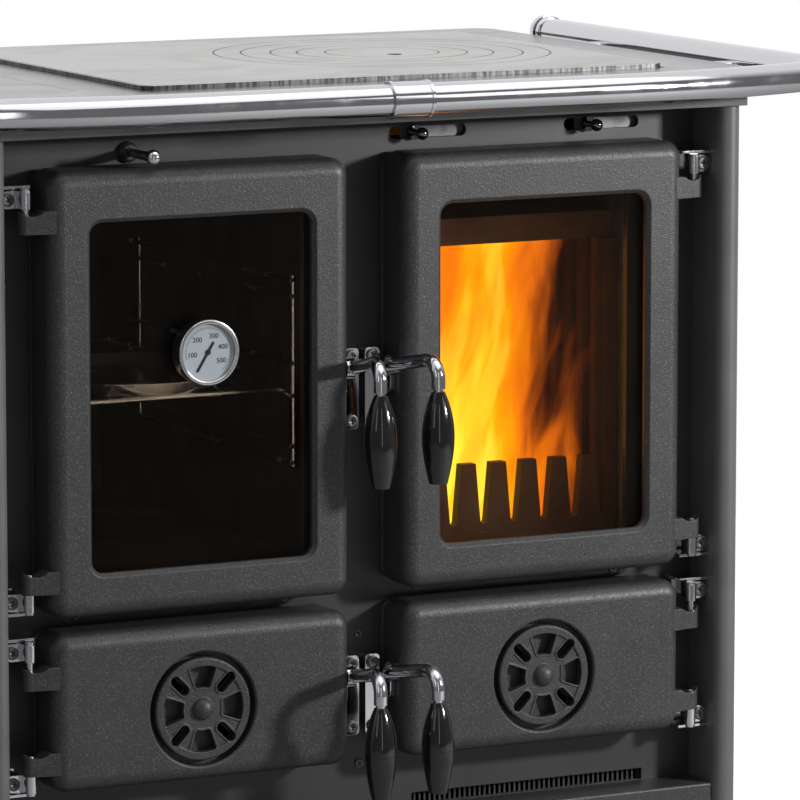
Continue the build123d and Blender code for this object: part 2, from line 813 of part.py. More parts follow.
def lug(low, high):
    """Hinge lug that grows out of the right door's rounded edge, with a hollowed top."""
    root_x = door_outer - door_round / 2
    root_front = door_front + door_round * (1 - cos(asin(0.5)))
    web = Polygon((root_x, root_front), (hinge_x, hinge_y - lug_radius),
                  (hinge_x, hinge_y + lug_radius), (root_x, hinge_y + 2 * lug_radius), align=None)
    profile = web + Pos(hinge_x, hinge_y) * Circle(lug_radius)
    solid = extrude(Pos(0, 0, low) * profile, high - low, dir=(0, 0, 1))
    hollow_x = hinge_x - lug_saddle_shift
    hollow_z = high - lug_saddle_depth + lug_saddle_radius
    return solid - rod((hollow_x, door_front, hollow_z), (hollow_x, 0, hollow_z), lug_saddle_radius)


def door_casting(door):
    """Right-hand door: a dished casting with rounded front edges, lugs and the handle's bore."""
    outline = RectangleRounded(door_outer - door.inner, door.high - door.low, door_corner)
    middle = facing((door.inner + door_outer) / 2, door_back, (door.low + door.high) / 2)
    casting = extrude(middle * outline, door_thick)
    casting = fillet(casting.faces().sort_by(Axis.Y)[0].edges(), door_round)
    wall_end = door.inner + door_rim
    casting -= slab(wall_end, door_outer - door_rim, glass_front, door_back, door.low + door_rim,
                    door.high - door_rim, door_corner / 2)
    for low, high in (top_lug(door), bottom_lug(door)):
        casting += lug(low, high)
        casting -= rod((hinge_x, hinge_y, low), (hinge_x, hinge_y, high), pin_radius + pin_clearance)
    return casting - rod((door.inner, handle_y, door.pivot), (wall_end, handle_y, door.pivot),
                         handle_shaft_radius + pin_clearance)


def window_cut(casting, door):
    """Cuts the window with a bevelled lip and adds the pads that the glass clips sit on."""
    casting -= slab(door.window_inner, window_outer, door_front, glass_front, window_low, window_high,
                    window_corner)
    lip = casting.faces().sort_by(Axis.Y)[0].inner_wires()[0].edges()
    casting = chamfer(lip, window_bevel)
    for x, z in clip_places(door):
        casting += rod((x, glass_front, z), (x, glass_back, z), clip_screw_radius)
    return casting


def clip_places(door):
    """Screw places of the four glass clips, beside the pane."""
    beside = glass_overlap + clip_screw_radius + clip_screw_gap
    zs = (window_low + clip_height, window_high - clip_height)
    return [(x, z) for x in (door.window_inner - beside, window_outer + beside) for z in zs]


def glass_clips(door):
    """Four strips with their screws, which hold the pane against the door's skin."""
    pieces = []
    for x, z in clip_places(door):
        towards_pane = 1 if x < door.window_inner else -1
        near = x - towards_pane * clip_screw_radius
        far = near + towards_pane * clip_width
        strip = block(min(near, far), max(near, far), glass_back, glass_back + clip_thick,
                      z - clip_height / 2, z + clip_height / 2)
        head = rod((x, glass_back + clip_thick, z),
                   (x, glass_back + clip_thick + clip_screw_head, z), clip_screw_radius)
        pieces.append(strip + head)
    return pieces


def door_glass(door):
    """Heat-proof pane behind the window."""
    return slab(door.window_inner - glass_overlap, window_outer + glass_overlap, glass_front,
                glass_back, window_low - glass_overlap, window_high + glass_overlap, window_corner)


def door_gasket(door):
    """Sealing rope on the door's rim, pressed to a flat section."""
    edge = (door_rim - gasket_width) / 2
    inner_edge = edge + gasket_width
    ring = slab(door.inner + edge, door_outer - edge, door_back, -gasket_gap, door.low + edge,
                door.high - edge, door_corner - edge)
    hole = slab(door.inner + inner_edge, door_outer - inner_edge, door_back, -gasket_gap,
                door.low + inner_edge, door.high - inner_edge, gasket_inner_corner)
    return ring - hole


def wheel_window():
    """One wide window of the air wheel, on the right of its centre."""
    half = radians(wheel_window_angle)
    span = 2 * wheel_window_outer
    wedge = Polygon((0, 0), (span * cos(half), -span * sin(half)), (span * cos(half), span * sin(half)),
                    align=None)
    window = wedge & (Circle(wheel_window_outer) - Circle(wheel_window_inner))
    return fillet(window.vertices(), wheel_window_corner)


def wheel_slot(cover):
    """One narrow slot, drawn smaller all round by the cover."""
    length = wheel_slot_outer - wheel_slot_inner - 2 * cover
    reach = (wheel_slot_outer + wheel_slot_inner) / 2
    return Pos(reach, 0) * SlotOverall(length, wheel_slot_width - 2 * cover)


def wheel_turns(outline, first):
    """The same outline in four places round the wheel's centre."""
    return Sketch([Rot(0, 0, first + quarter * 90) * outline for quarter in range(4)])


def air_openings():
    """The door's air holes under the wheel's narrow slots."""
    return wheel_turns(wheel_slot(wheel_slot_cover), 45)


def wheel_seat(casting):
    """Sinks the round recess for the air wheel into a lower door, with its bored floor."""
    floor_y = door_front + wheel_recess_depth
    back_y = floor_y + wheel_floor
    casting += rod((wheel_x, glass_front, wheel_z), (wheel_x, back_y, wheel_z),
                   wheel_recess_radius + wheel_floor)
    casting -= rod((wheel_x, door_front, wheel_z), (wheel_x, floor_y, wheel_z), wheel_recess_radius)
    casting -= Solid.make_cone(wheel_recess_radius + wheel_recess_bevel, wheel_recess_radius,
                               wheel_recess_bevel,
                               Plane(origin=(wheel_x, door_front, wheel_z), z_dir=(0, 1, 0)))
    casting -= extrude(facing(wheel_x, back_y, wheel_z) * air_openings(), wheel_floor)
    casting -= rod((wheel_x, floor_y, wheel_z), (wheel_x, back_y, wheel_z),
                   wheel_spindle_radius + pin_clearance)
    return casting


def air_wheel():
    """Air wheel: raised rim, four windows and four slots with beads, hub and domed knob."""
    face_y = door_front + wheel_sink
    step_y = face_y + wheel_rim_step
    back_y = face_y + wheel_thick
    floor_y = door_front + wheel_recess_depth
    end_y = floor_y + wheel_floor
    behind = facing(wheel_x, back_y, wheel_z)
    rim = rod((wheel_x, face_y, wheel_z), (wheel_x, back_y, wheel_z), wheel_radius)
    rim = chamfer(rim.faces().sort_by(Axis.Y)[0].edges(), wheel_rim_bevel)
    rim -= rod((wheel_x, face_y, wheel_z), (wheel_x, back_y, wheel_z), wheel_window_outer)
    wheel = rim + rod((wheel_x, step_y, wheel_z), (wheel_x, back_y, wheel_z),
                      wheel_radius - wheel_rim_bevel)
    window = wheel_window()
    slot = wheel_slot(0)
    for outline, turn in ((window, 0), (slot, 45)):
        bead = wheel_turns(offset(outline, wheel_bead_width), turn)
        wheel += extrude(behind * bead, back_y - step_y + wheel_bead_rise, dir=(0, -1, 0))
    for outline, turn in ((window, 0), (slot, 45)):
        wheel -= extrude(behind * wheel_turns(outline, turn), wheel_thick, dir=(0, -1, 0))
    knob = Pos(wheel_x, step_y + wheel_knob_sink, wheel_z) * Sphere(wheel_knob_radius)
    knob -= rod((wheel_x, back_y, wheel_z), (wheel_x, end_y, wheel_z), wheel_radius)
    hub = rod((wheel_x, step_y, wheel_z), (wheel_x, floor_y, wheel_z), wheel_hub_radius)
    spindle = rod((wheel_x, floor_y, wheel_z), (wheel_x, end_y + wheel_spindle_end, wheel_z),
                  wheel_spindle_radius)
    washer_y = end_y + wheel_washer_gap
    washer = rod((wheel_x, washer_y, wheel_z), (wheel_x, washer_y + wheel_washer_thick, wheel_z),
                 wheel_hub_radius) - spindle
    return wheel + knob + hub + spindle, washer


fire_casting = window_cut(door_casting(fire_door), fire_door)
oven_casting = window_cut(door_casting(oven_door), oven_door)
wheel_pieces = air_wheel()
save("fire_door", fire_casting, *glass_clips(fire_door))
save("fire_door_glass", door_glass(fire_door))
save("fire_door_gasket", door_gasket(fire_door))
save("oven_door", mirrored(oven_casting), *[mirrored(clip) for clip in glass_clips(oven_door)])
save("oven_door_glass", mirrored(door_glass(oven_door)))
save("oven_door_gasket", mirrored(door_gasket(oven_door)))
save("ash_door", wheel_seat(door_casting(ash_door)))
save("lower_left_door", mirrored(wheel_seat(door_casting(lower_left_door))))
save("ash_door_gasket", door_gasket(ash_door))
save("lower_left_gasket", mirrored(door_gasket(lower_left_door)))
save("air_wheel_right", *wheel_pieces)
save("air_wheel_left", *[mirrored(piece) for piece in wheel_pieces])


# ------------------------------------------------------------------ hinge brackets and pins
def barrel_spans(door):
    """Bottom and top of the upper and of the lower barrel."""
    upper_start = top_lug(door)[1] + door.pin_gap
    lower_end = bottom_lug(door)[0]
    return ((upper_start, upper_start + barrel_height), (lower_end - barrel_height, lower_end))


def hinge_bracket(low, high, is_top):
    """Foot, web and rounded leaf from the front plate to the barrel, with a flange beyond it."""
    mid_z = (low + high) / 2
    end_radius = (high - low) / 2
    leaf_back = bracket_thick - bracket_leaf_front
    leaf_end = bracket_outer - end_radius
    web_x = leaf_end - end_radius
    flange_low = high + bracket_flange_gap if is_top else low - bracket_flange_gap - bracket_thick
    flange_high = flange_low + bracket_thick
    barrel = rod((hinge_x, hinge_y, low), (hinge_x, hinge_y, high), barrel_radius)
    strap_x = hinge_x + barrel_radius
    bracket = barrel + block(strap_x - bracket_thick, strap_x, hinge_y, leaf_back, low, high)
    bracket += block(strap_x - bracket_thick, leaf_end, -bracket_leaf_front, leaf_back, low, high)
    bracket += rod((leaf_end, -bracket_leaf_front, mid_z), (leaf_end, leaf_back, mid_z), end_radius)
    bracket += block(bracket_outer - bracket_foot_width, bracket_outer, -bracket_thick, 0, low, high)
    bracket += block(web_x, web_x + bracket_thick, leaf_back, 0, min(low, flange_low),
                     max(high, flange_high))
    bracket += block(bracket_outer - bracket_flange_width, bracket_outer, -bracket_leaf_front, 0,
                     flange_low, flange_high)
    return bracket - rod((hinge_x, hinge_y, low), (hinge_x, hinge_y, high), pin_radius)


def hinge_pin(door, is_top):
    """Pin from the barrel into the door's lug, with a small head outside the barrel."""
    top_span, bottom_span = barrel_spans(door)
    if is_top:
        start = top_lug(door)[0] + pin_end_gap
        end = top_span[1]
        head = (end, end + pin_head_height)
    else:
        start = bottom_span[0]
        end = bottom_lug(door)[1] - pin_end_gap
        head = (start - pin_head_height, start)
    pin = rod((hinge_x, hinge_y, start), (hinge_x, hinge_y, end), pin_radius)
    return pin + rod((hinge_x, hinge_y, head[0]), (hinge_x, hinge_y, head[1]), pin_head_radius)


def hinge_screw(low, high):
    """Screw head in the leaf's rounded end."""
    x = bracket_outer - (high - low) / 2
    z = (low + high) / 2
    face = -bracket_leaf_front
    head = rod((x, face - screw_head_height, z), (x, face, z), screw_head_radius)
    recess = rod((x, face - screw_head_height, z), (x, face - screw_head_height / 2, z),
                 screw_head_radius / 3)
    return head - recess


hinge_pieces = []
hinge_screws = []
for door in (fire_door, ash_door):
    for (low, high), is_top in zip(barrel_spans(door), (True, False)):
        hinge_pieces += [hinge_bracket(low, high, is_top), hinge_pin(door, is_top)]
        hinge_screws.append(hinge_screw(low, high))
save("hinge_brackets", *hinge_pieces, *[mirrored(piece) for piece in hinge_pieces])


# ------------------------------------------------------------------ handles and keepers
def handle_arm(door):
    """Hub and shaft in the door's edge, latch nose, and the bent tube that carries the grip."""
    hub_outer = door.inner - handle_gap
    hub_inner = hub_outer - handle_hub_width
    grip_top = door.pivot - arm_drop
    start = (hub_inner + arm_inset, handle_y, door.pivot)
    elbow = (arm_splay, -arm_reach, door.pivot + arm_rise)
    end = (arm_splay, -arm_reach, grip_top + arm_neck_length)
    path = FilletPolyline(start, elbow, end, radius=elbow_radius)
    run = Vector(*elbow) - Vector(*start)
    tube = sweep(Plane(origin=start, z_dir=run) * Circle(arm_radius), path=path)
    tube += rod(end, (arm_splay, -arm_reach, grip_top), arm_neck_radius)
    hub = rod((hub_inner, handle_y, door.pivot), (hub_outer, handle_y, door.pivot), handle_hub_radius)
    washer_x = door.inner + door_rim + handle_gap
    shaft_end = washer_x + handle_washer_thick
    shaft = rod((hub_outer, handle_y, door.pivot), (shaft_end, handle_y, door.pivot),
                handle_shaft_radius)
    washer = rod((washer_x, handle_y, door.pivot), (shaft_end, handle_y, door.pivot),
                 handle_washer_radius) - shaft
    nose_x = hub_outer - latch_nose_width
    nose_z = door.pivot - latch_nose_drop
    nose = block(nose_x, hub_outer, latch_nose_y - latch_nose_radius,
                 latch_nose_y + latch_nose_radius, nose_z, door.pivot)
    nose += rod((nose_x, latch_nose_y, nose_z), (hub_outer, latch_nose_y, nose_z), latch_nose_radius)
    return hub + shaft + tube + nose, washer


def grip(pivot):
    """Turned grip with a fine seam at its widest place."""
    top = pivot - arm_drop
    bottom = top - grip_length
    seam_z = top - grip_seam_drop
    outline = Line((0, top), (grip_top_radius, top))
    outline += Spline((grip_top_radius, top), (grip_shoulder_radius, top - grip_shoulder_drop),
                      (grip_mid_radius, seam_z), (grip_belly_radius, top - grip_belly_drop),
                      (grip_end_radius, bottom))
    outline += Line((grip_end_radius, bottom), (0, bottom))
    outline += Line((0, bottom), (0, top))
    body = revolve(Plane.XZ * make_face(outline), Axis.Z)
    groove = rod((0, 0, seam_z - grip_seam / 2), (0, 0, seam_z + grip_seam / 2), 2 * grip_mid_radius)
    groove -= rod((0, 0, seam_z - grip_seam), (0, 0, seam_z + grip_seam), grip_mid_radius - grip_seam)
    return Pos(arm_splay, -arm_reach, 0) * (body - groove)


def keeper(pivot):
    """Strike on the front plate: a rounded strip bridged between two feet."""
    low = pivot - keeper_below
    high = pivot + keeper_above
    form = slab(keeper_inner, keeper_outer, -keeper_standoff - keeper_thick, 0, low, high,
                keeper_corner)
    return form - block(keeper_inner, keeper_outer, -keeper_standoff, 0, low + keeper_foot,
                        high - keeper_foot)


def keeper_screws(pivot):
    """The two screw heads on a keeper."""
    x = (keeper_inner + keeper_outer) / 2
    face = -keeper_standoff - keeper_thick
    places = (pivot - keeper_below + keeper_foot / 2, pivot + keeper_above - keeper_foot / 2)
    return [rod((x, face - screw_head_height, z), (x, face, z), screw_head_radius) for z in places]


def plate_screws():
    """Button-head screws that hold the front plate to the frame behind it."""
    row_z = (lower_high + upper_low) / 2
    edge_x = flank_x - plate_screw_edge_margin
    places = [(plate_screw_mid, lower_low + rise) for rise in plate_screw_mid_rises]
    for side in (-1, 1):
        places.append((side * plate_screw_row_inner, row_z))
        places.append((side * (flank_x - plate_screw_row_margin), row_z))
        places.append((side * edge_x, upper_low + plate_screw_edge_rise))
    return [rod((x, -screw_head_height, z), (x, 0, z), plate_screw_radius) for x, z in places]


keepers = []
small_screws = []
for right_name, right_door, left_name, left_door in (
        ("fire", fire_door, "oven", oven_door), ("ash", ash_door, "lower_left", lower_left_door)):
    save(f"{right_name}_handle_arm", *handle_arm(right_door))
    save(f"{left_name}_handle_arm", *[mirrored(piece) for piece in handle_arm(left_door)])
    save(f"{right_name}_handle_grip", grip(right_door.pivot))
    save(f"{left_name}_handle_grip", mirrored(grip(left_door.pivot)))
    keepers += [keeper(right_door.pivot), mirrored(keeper(left_door.pivot))]
    small_screws += keeper_screws(right_door.pivot)
save("latch_keepers", *keepers)
small_screws += hinge_screws
save("front_screws", *small_screws, *[mirrored(screw) for screw in small_screws], *plate_screws())


# ------------------------------------------------------------------ air registers and bypass rod
def register_slider(start):
    """Thin plate that covers the slot, with its stem, collar and ball knob."""
    x = start + register_knob_offset
    near = plate_thick + slider_gap
    far = near + slider_thick
    plate = block(x - slider_nose, x + slider_tail, near, far, register_z - slider_height / 2,
                  register_z + slider_height / 2)
    stem = rod((x, far, register_z), (x, -knob_ball_reach, register_z), knob_stem_radius)
    collar = rod((x, -slider_gap, register_z), (x, -slider_gap - knob_collar_thick, register_z),
                 knob_collar_radius)
    ball = Pos(x, -knob_ball_reach, register_z) * Sphere(knob_ball_radius)
    return plate + stem + collar + ball


def register_guides():
    """Folded strips behind the front plate that the sliders run in."""
    near = plate_thick
    far = plate_thick + 2 * slider_gap + slider_thick + guide_wall
    left = register_starts[0] - guide_left_reach
    right = register_starts[1] + register_length + guide_right_reach
    pieces = []
    for side in (-1, 1):
        edge = register_z + side * (slider_height / 2 + slider_gap)
        outer = edge + side * guide_wall
        inner = edge - side * guide_hook
        strip = block(left, right, near, far, min(edge, outer), max(edge, outer))
        strip += block(left, right, far - guide_wall, far, min(inner, outer), max(inner, outer))
        pieces.append(strip)
    return pieces


def bypass_bush():
    """Flanged guide in the front plate for the pull rod."""
    back = plate_thick + bypass_bush_tail
    bush = rod((bypass_x, -bypass_bush_reach, bypass_z), (bypass_x, 0, bypass_z), bypass_bush_radius)
    bush = chamfer(bush.faces().sort_by(Axis.Y)[0].edges(), bypass_bush_bevel)
    bush += rod((bypass_x, 0, bypass_z), (bypass_x, back, bypass_z),
                bypass_bush_radius - bypass_bush_step)
    return bush - rod((bypass_x, -bypass_bush_reach, bypass_z), (bypass_x, back, bypass_z),
                      bypass_rod_radius + pin_clearance)


def bypass_rod():
    """Pull rod with its ball and cone, carrying the bypass flap at its far end."""
    shaft = rod((bypass_x, -bypass_reach, bypass_z), (bypass_x, bypass_rod_end, bypass_z),
                bypass_rod_radius)
    ball = Pos(bypass_x, -bypass_reach, bypass_z) * Sphere(bypass_ball_radius)
    cone = Solid.make_cone(bypass_cone_radius, bypass_rod_radius, bypass_cone_length,
                           Plane(origin=(bypass_x, -bypass_reach, bypass_z), z_dir=(0, 1, 0)))
    flap = block(bypass_x - bypass_flap_width / 2, bypass_x + bypass_flap_width / 2, bypass_rod_end,
                 bypass_rod_end + bypass_flap_thick, bypass_z - bypass_flap_height / 2,
                 bypass_z + bypass_flap_height / 2)
    return shaft + ball + cone + flap


for name, start in zip(("left", "right"), register_starts):
    save(f"air_slider_{name}", register_slider(start))
save("front_plate", front_plate(), vent_mesh(), *register_guides(), bypass_bush())
save("bypass_rod", bypass_rod())


# ------------------------------------------------------------------ oven
def oven_box():
    """Sheet-metal oven liner, open to the front and welded to the front plate."""
    outer = block(-opening_outer - sheet, -left_opening_inner + sheet, plate_thick, inner_back + sheet,
                  upper_opening_low - sheet, upper_opening_high + sheet)
    cavity = block(-opening_outer, -left_opening_inner, plate_thick, inner_back, upper_opening_low,
                   upper_opening_high)
    return outer - cavity


def oven_rack(wall_x, inward):
    """Wire side rack: two uprights against the wall with rails held off on short cross wires."""
    x = wall_x + inward * upright_radius
    rail_x = wall_x + inward * 3 * wire_radius
    low = rack_heights[0] - rack_upright_end
    high = rack_heights[-1] + rack_upright_end
    rack = rod((x, rack_front, low), (x, rack_front, high), upright_radius)
    rack += rod((x, rack_back, low), (x, rack_back, high), upright_radius)
    for z in rack_heights:
        rack += rod((rail_x, rack_front - rack_rail_nose, z), (rail_x, rack_back + rack_rail_tail, z),
                    wire_radius)
        for y in (rack_front, rack_back):
            rack += rod((x, y, z), (rail_x, y, z), wire_cross_radius)
    return rack


def oven_shelf():
    """Wire shelf that lies on the rack's rails."""
    z = shelf_rail_z + 2 * wire_radius + shelf_gap
    left = -opening_outer + 2 * upright_radius + wire_radius + shelf_gap
    right = -left_opening_inner - 2 * upright_radius - wire_radius - shelf_gap
    start = left - wire_radius
    end = right + wire_radius
    shelf = rod((start, shelf_front, z), (end, shelf_front, z), wire_radius)
    shelf += rod((start, shelf_back, z), (end, shelf_back, z), wire_radius)
    for bar in range(shelf_bars + 1):
        x = left + (right - left) * bar / shelf_bars
        shelf += rod((x, shelf_front, z), (x, shelf_back, z), wire_cross_radius)
    return shelf


def baking_tray():
    """Round pressed tray with a flat base and a low rolled rim."""
    z = shelf_rail_z + 3 * wire_radius + shelf_gap
    x = -(left_opening_inner + opening_outer) / 2
    base = Plane(origin=(x, tray_y, z))
    dish = Solid.make_cone(tray_radius - tray_flare, tray_radius, tray_height, base)
    return dish - Solid.make_cone(tray_radius - tray_flare - tray_wall, tray_radius - tray_wall,
                                  tray_height, base.offset(tray_wall))


save("oven_box", oven_box())
save("oven_racks", oven_rack(-opening_outer, 1), oven_rack(-left_opening_inner, -1))
save("oven_shelf", oven_shelf())
save("baking_tray", baking_tray())


# ------------------------------------------------------------------ firebox
def ash_chute(top):
    """The hole under the grate, through one thickness of sheet below this height."""
    return block(grate_left + grate_rest, grate_right - grate_rest, grate_front + grate_rest,
                 grate_back - grate_rest, top - sheet, top)


def firebox_casing():
    """Welded firebox shell, open to the front, and open at the top into the space under the hob."""
    shell = block(fire_inner - sheet, fire_outer + sheet, plate_thick, inner_back + sheet,
                  fire_floor - sheet, casing_high)
    shell -= block(fire_inner, fire_outer, plate_thick, inner_back, fire_floor, casing_high)
    return shell - ash_chute(fire_floor)


def lining_side():
    """Ribbed cast lining plate for the right wall, with vertical ribs towards the fire."""
    face = fire_outer - lining_thick
    start = guard_y + guard_thick + lining_guard_gap
    plate = block(face, fire_outer, start, inner_back - lining_thick, fire_floor, lining_high)
    count = int((inner_back - lining_thick - start) / rib_pitch)
    for rib in range(count):
        y = start + rib_pitch / 2 + rib * rib_pitch
        plate += block(face - rib_depth, face, y - rib_width / 2, y + rib_width / 2,
                       fire_floor, lining_high)
    return plate


def lining_back():
    """Ribbed cast lining plate across the back of the firebox."""
    face = inner_back - lining_thick
    plate = block(fire_inner, fire_outer, face, inner_back, fire_floor, lining_high)
    left = fire_inner + lining_thick + rib_depth
    right = fire_outer - lining_thick - rib_depth
    count = int((right - left) / rib_pitch)
    margin = (right - left - (count - 1) * rib_pitch) / 2
    for rib in range(count):
        x = left + margin + rib * rib_pitch
        plate += block(x - rib_width / 2, x + rib_width / 2, face - rib_depth, face,
                       fire_floor, lining_high)
    return plate


def fire_grate():
    """Cast grate in the firebox floor, slotted from front to back."""
    grate = block(grate_left, grate_right, grate_front, grate_back, fire_floor,
                  fire_floor + grate_thick)
    pitch = (grate_right - grate_left - 2 * grate_rest) / grate_slots
    for slot in range(grate_slots):
        x = grate_left + grate_rest + pitch * (slot + 0.5)
        grate -= block(x - grate_slot_width / 2, x + grate_slot_width / 2,
                       grate_front + grate_slot_end, grate_back - grate_slot_end, fire_floor,
                       fire_floor + grate_thick)
    return grate


def log_guard():
    """Toothed guard across the firebox mouth, standing on the floor on a thicker foot."""
    comb = block(guard_left, guard_right, guard_y, guard_y + guard_thick, fire_floor, guard_tip_z)
    half_valley = (guard_pitch - guard_tip_width) / 2
    valley = Polygon((-half_valley, guard_tip_z), (-guard_valley_radius, guard_valley_z),
                     (guard_valley_radius, guard_valley_z), (half_valley, guard_tip_z), align=None)
    valley += Pos(0, guard_valley_z) * Circle(guard_valley_radius)
    for tooth in range(guard_teeth + 1):
        place = facing(guard_left + tooth * guard_pitch, guard_y + guard_thick, 0)
        comb -= extrude(place * valley, guard_thick, dir=(0, -1, 0))
    return comb + block(guard_left, guard_right, guard_y - guard_ledge_depth, guard_y, fire_floor,
                        guard_ledge_z)


def smoke_baffle():
    """Folded plate under the hob: a front lip, then a slope up to the rear."""
    points = [(baffle_front, lining_high), (baffle_front, baffle_fold_z),
              (baffle_rear_y, baffle_rear_z), (baffle_rear_y, baffle_rear_z - baffle_thick),
              (baffle_front + baffle_thick, baffle_fold_z - baffle_thick),
              (baffle_front + baffle_thick, lining_high)]
    side = Plane(origin=(fire_inner, 0, 0), x_dir=(0, 1, 0), z_dir=(1, 0, 0))
    return extrude(side * Polygon(*points, align=None), fire_outer - fire_inner, dir=(1, 0, 0))


right_lining = lining_side()
save("firebox_casing", firebox_casing())
left_lining = Pos(fire_inner + fire_outer, 0, 0) * mirrored(right_lining)
save("firebox_lining", right_lining, left_lining, lining_back())
save("fire_grate", fire_grate())
save("log_guard", log_guard())
save("smoke_baffle", smoke_baffle())


# ------------------------------------------------------------------ lower compartments
def ash_box():
    """Liner under the grate, open to the front and to the firebox floor above it."""
    outer = block(right_opening_inner - sheet, opening_outer + sheet, plate_thick, liner_back,
                  lower_opening_low - sheet, fire_floor - sheet)
    cavity = block(right_opening_inner, opening_outer, plate_thick, liner_back - sheet,
                   lower_opening_low, fire_floor - 2 * sheet)
    return outer - cavity - ash_chute(fire_floor - sheet)


def left_box():
    """Liner of the left-hand lower compartment, closed all round but for the door."""
    outer = block(-opening_outer - sheet, -left_opening_inner + sheet, plate_thick, liner_back,
                  lower_opening_low - sheet, lower_opening_high + sheet)
    cavity = block(-opening_outer, -left_opening_inner, plate_thick, liner_back - sheet,
                   lower_opening_low, lower_opening_high)
    return outer - cavity


def ash_pan():
    """Sheet pan on the liner's floor, with a front lip to pull it by."""
    left = right_opening_inner + ash_pan_side_gap
    right = opening_outer - ash_pan_side_gap
    top = lower_opening_low + ash_pan_height
    middle = (left + right) / 2
    pan = tray(left, right, ash_pan_front, ash_pan_back, lower_opening_low, top, ash_pan_wall)
    return pan + block(middle - ash_pan_lip_width / 2, middle + ash_pan_lip_width / 2,
                       ash_pan_front - ash_pan_lip_reach, ash_pan_front, top - ash_pan_wall, top)


save("lower_liners", ash_box(), left_box())
save("ash_pan", ash_pan())


# ------------------------------------------------------------------ base rail, drawer and runners
def base_rail():
    """Fixed front above the drawer: an upright face with a ledge back to the front plate."""
    back = base_front_thick - base_reach
    face = block(-flank_x, flank_x, -base_reach, back, base_rail_low, ledge_z)
    edge = face.edges().filter_by(Axis.X).group_by(Axis.Z)[-1].sort_by(Axis.Y)[0]
    return fillet(edge, base_front_round) + block(-flank_x, flank_x, back, 0, ledge_z - ledge_thick,
                                                  ledge_z)


def wood_drawer():
    """Drawer with a cast front between the columns and a sheet-metal box behind it."""
    half = flank_x - drawer_side_gap
    back = base_front_thick - base_reach
    front = block(-half, half, -base_reach, back, drawer_low, base_rail_low - drawer_rail_gap)
    front = fillet(front.faces().sort_by(Axis.Y)[0].edges(), base_front_round)
    return front + tray(-drawer_half_width, drawer_half_width, back, inner_back, drawer_floor,
                        drawer_head, drawer_wall)


save("base_rail", base_rail())
save("wood_drawer", wood_drawer())


# ------------------------------------------------------------------ thermometer
def gauge_body():
    """Steel bezel and case that stand on the oven glass."""
    front = glass_front - gauge_depth
    case = rod((gauge_x, front, gauge_z), (gauge_x, glass_front, gauge_z), gauge_radius)
    case = fillet(case.faces().sort_by(Axis.Y)[0].edges(), gauge_rim_round)
    dial_back = front + gauge_face_sink + gauge_dial_thick
    return case - rod((gauge_x, front, gauge_z), (gauge_x, dial_back, gauge_z), gauge_radius - gauge_rim)


def gauge_dial():
    """Printed dial disc at the bottom of the bezel."""
    face = glass_front - gauge_depth + gauge_face_sink
    return rod((gauge_x, face, gauge_z), (gauge_x, face + gauge_dial_thick, gauge_z),
               gauge_radius - gauge_rim)


def gauge_needle():
    """Needle with its hub just above the dial."""
    face = glass_front - gauge_depth + gauge_face_sink - needle_gap
    blade = Pos(0, (needle_tail - needle_length) / 2) * Rectangle(needle_width,
                                                                  needle_length + needle_tail)
    outline = Rot(0, 0, -needle_angle) * blade + Circle(needle_hub_radius)
    return extrude(facing(gauge_x, face, gauge_z) * outline, needle_thick)


save("thermometer_body", gauge_body(), gauge_dial())
save("thermometer_needle", gauge_needle())
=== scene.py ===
import bpy
import math
import random
from mathutils import Matrix, Vector


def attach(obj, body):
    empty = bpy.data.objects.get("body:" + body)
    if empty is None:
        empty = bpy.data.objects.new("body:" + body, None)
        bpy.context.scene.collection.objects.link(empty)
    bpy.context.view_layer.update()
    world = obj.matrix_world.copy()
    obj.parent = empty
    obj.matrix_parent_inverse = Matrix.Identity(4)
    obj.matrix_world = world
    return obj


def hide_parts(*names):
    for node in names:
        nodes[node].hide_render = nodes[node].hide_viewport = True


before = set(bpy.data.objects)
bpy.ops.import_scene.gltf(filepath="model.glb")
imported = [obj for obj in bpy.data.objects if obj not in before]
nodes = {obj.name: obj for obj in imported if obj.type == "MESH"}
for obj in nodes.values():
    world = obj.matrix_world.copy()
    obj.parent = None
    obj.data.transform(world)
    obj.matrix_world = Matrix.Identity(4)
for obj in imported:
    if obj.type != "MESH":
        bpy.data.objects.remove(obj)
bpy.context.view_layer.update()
bpy.ops.object.select_all(action="DESELECT")
random.seed(7)

# ---------------------------------------------------------------- studio room
# A plain studio, white all round to the lens. On the stove it is bright from above and behind and
# dim from the front, so the upright castings stay dark while the hob and the rail shine.
scene = bpy.context.scene
scene.view_settings.view_transform = "Standard"
front_wall = 0.18
ceiling = 0.55
mirrored_ceiling = 0.98
ceiling_pull = 0.9
dim_below, bright_above = -0.05, 0.62


def put(tree, kind, inputs=None, **options):
    """One shader node: options are its own settings, inputs are values or sockets by name or place."""
    made = tree.nodes.new("ShaderNode" + kind)
    for option, value in options.items():
        setattr(made, option, value)
    for socket, value in (inputs or {}).items():
        if isinstance(value, bpy.types.NodeSocket):
            tree.links.new(value, made.inputs[socket])
        else:
            made.inputs[socket].default_value = value
    return made.outputs


def maths(tree, operation, *values):
    """A sum, product or test of values or sockets."""
    return put(tree, "Math", dict(enumerate(values)), operation=operation)[0]


def remap(tree, value, low, high, to_low, to_high):
    """Carries a value from one span to another and holds it at the ends."""
    return put(tree, "MapRange", {0: value, 1: low, 2: high, 3: to_low, 4: to_high})[0]


def mix_values(tree, share, first, second):
    return put(tree, "Mix", {0: share, 2: first, 3: second}, data_type="FLOAT")[0]


def seen_by_lens(tree):
    """1 for rays that come from the lens, straight or through a pane, and 0 for the others."""
    ray = put(tree, "LightPath")
    return maths(tree, "MAXIMUM", ray["Is Camera Ray"], ray["Is Transmission Ray"])


def grey(level):
    return (level, level, level, 1.0)


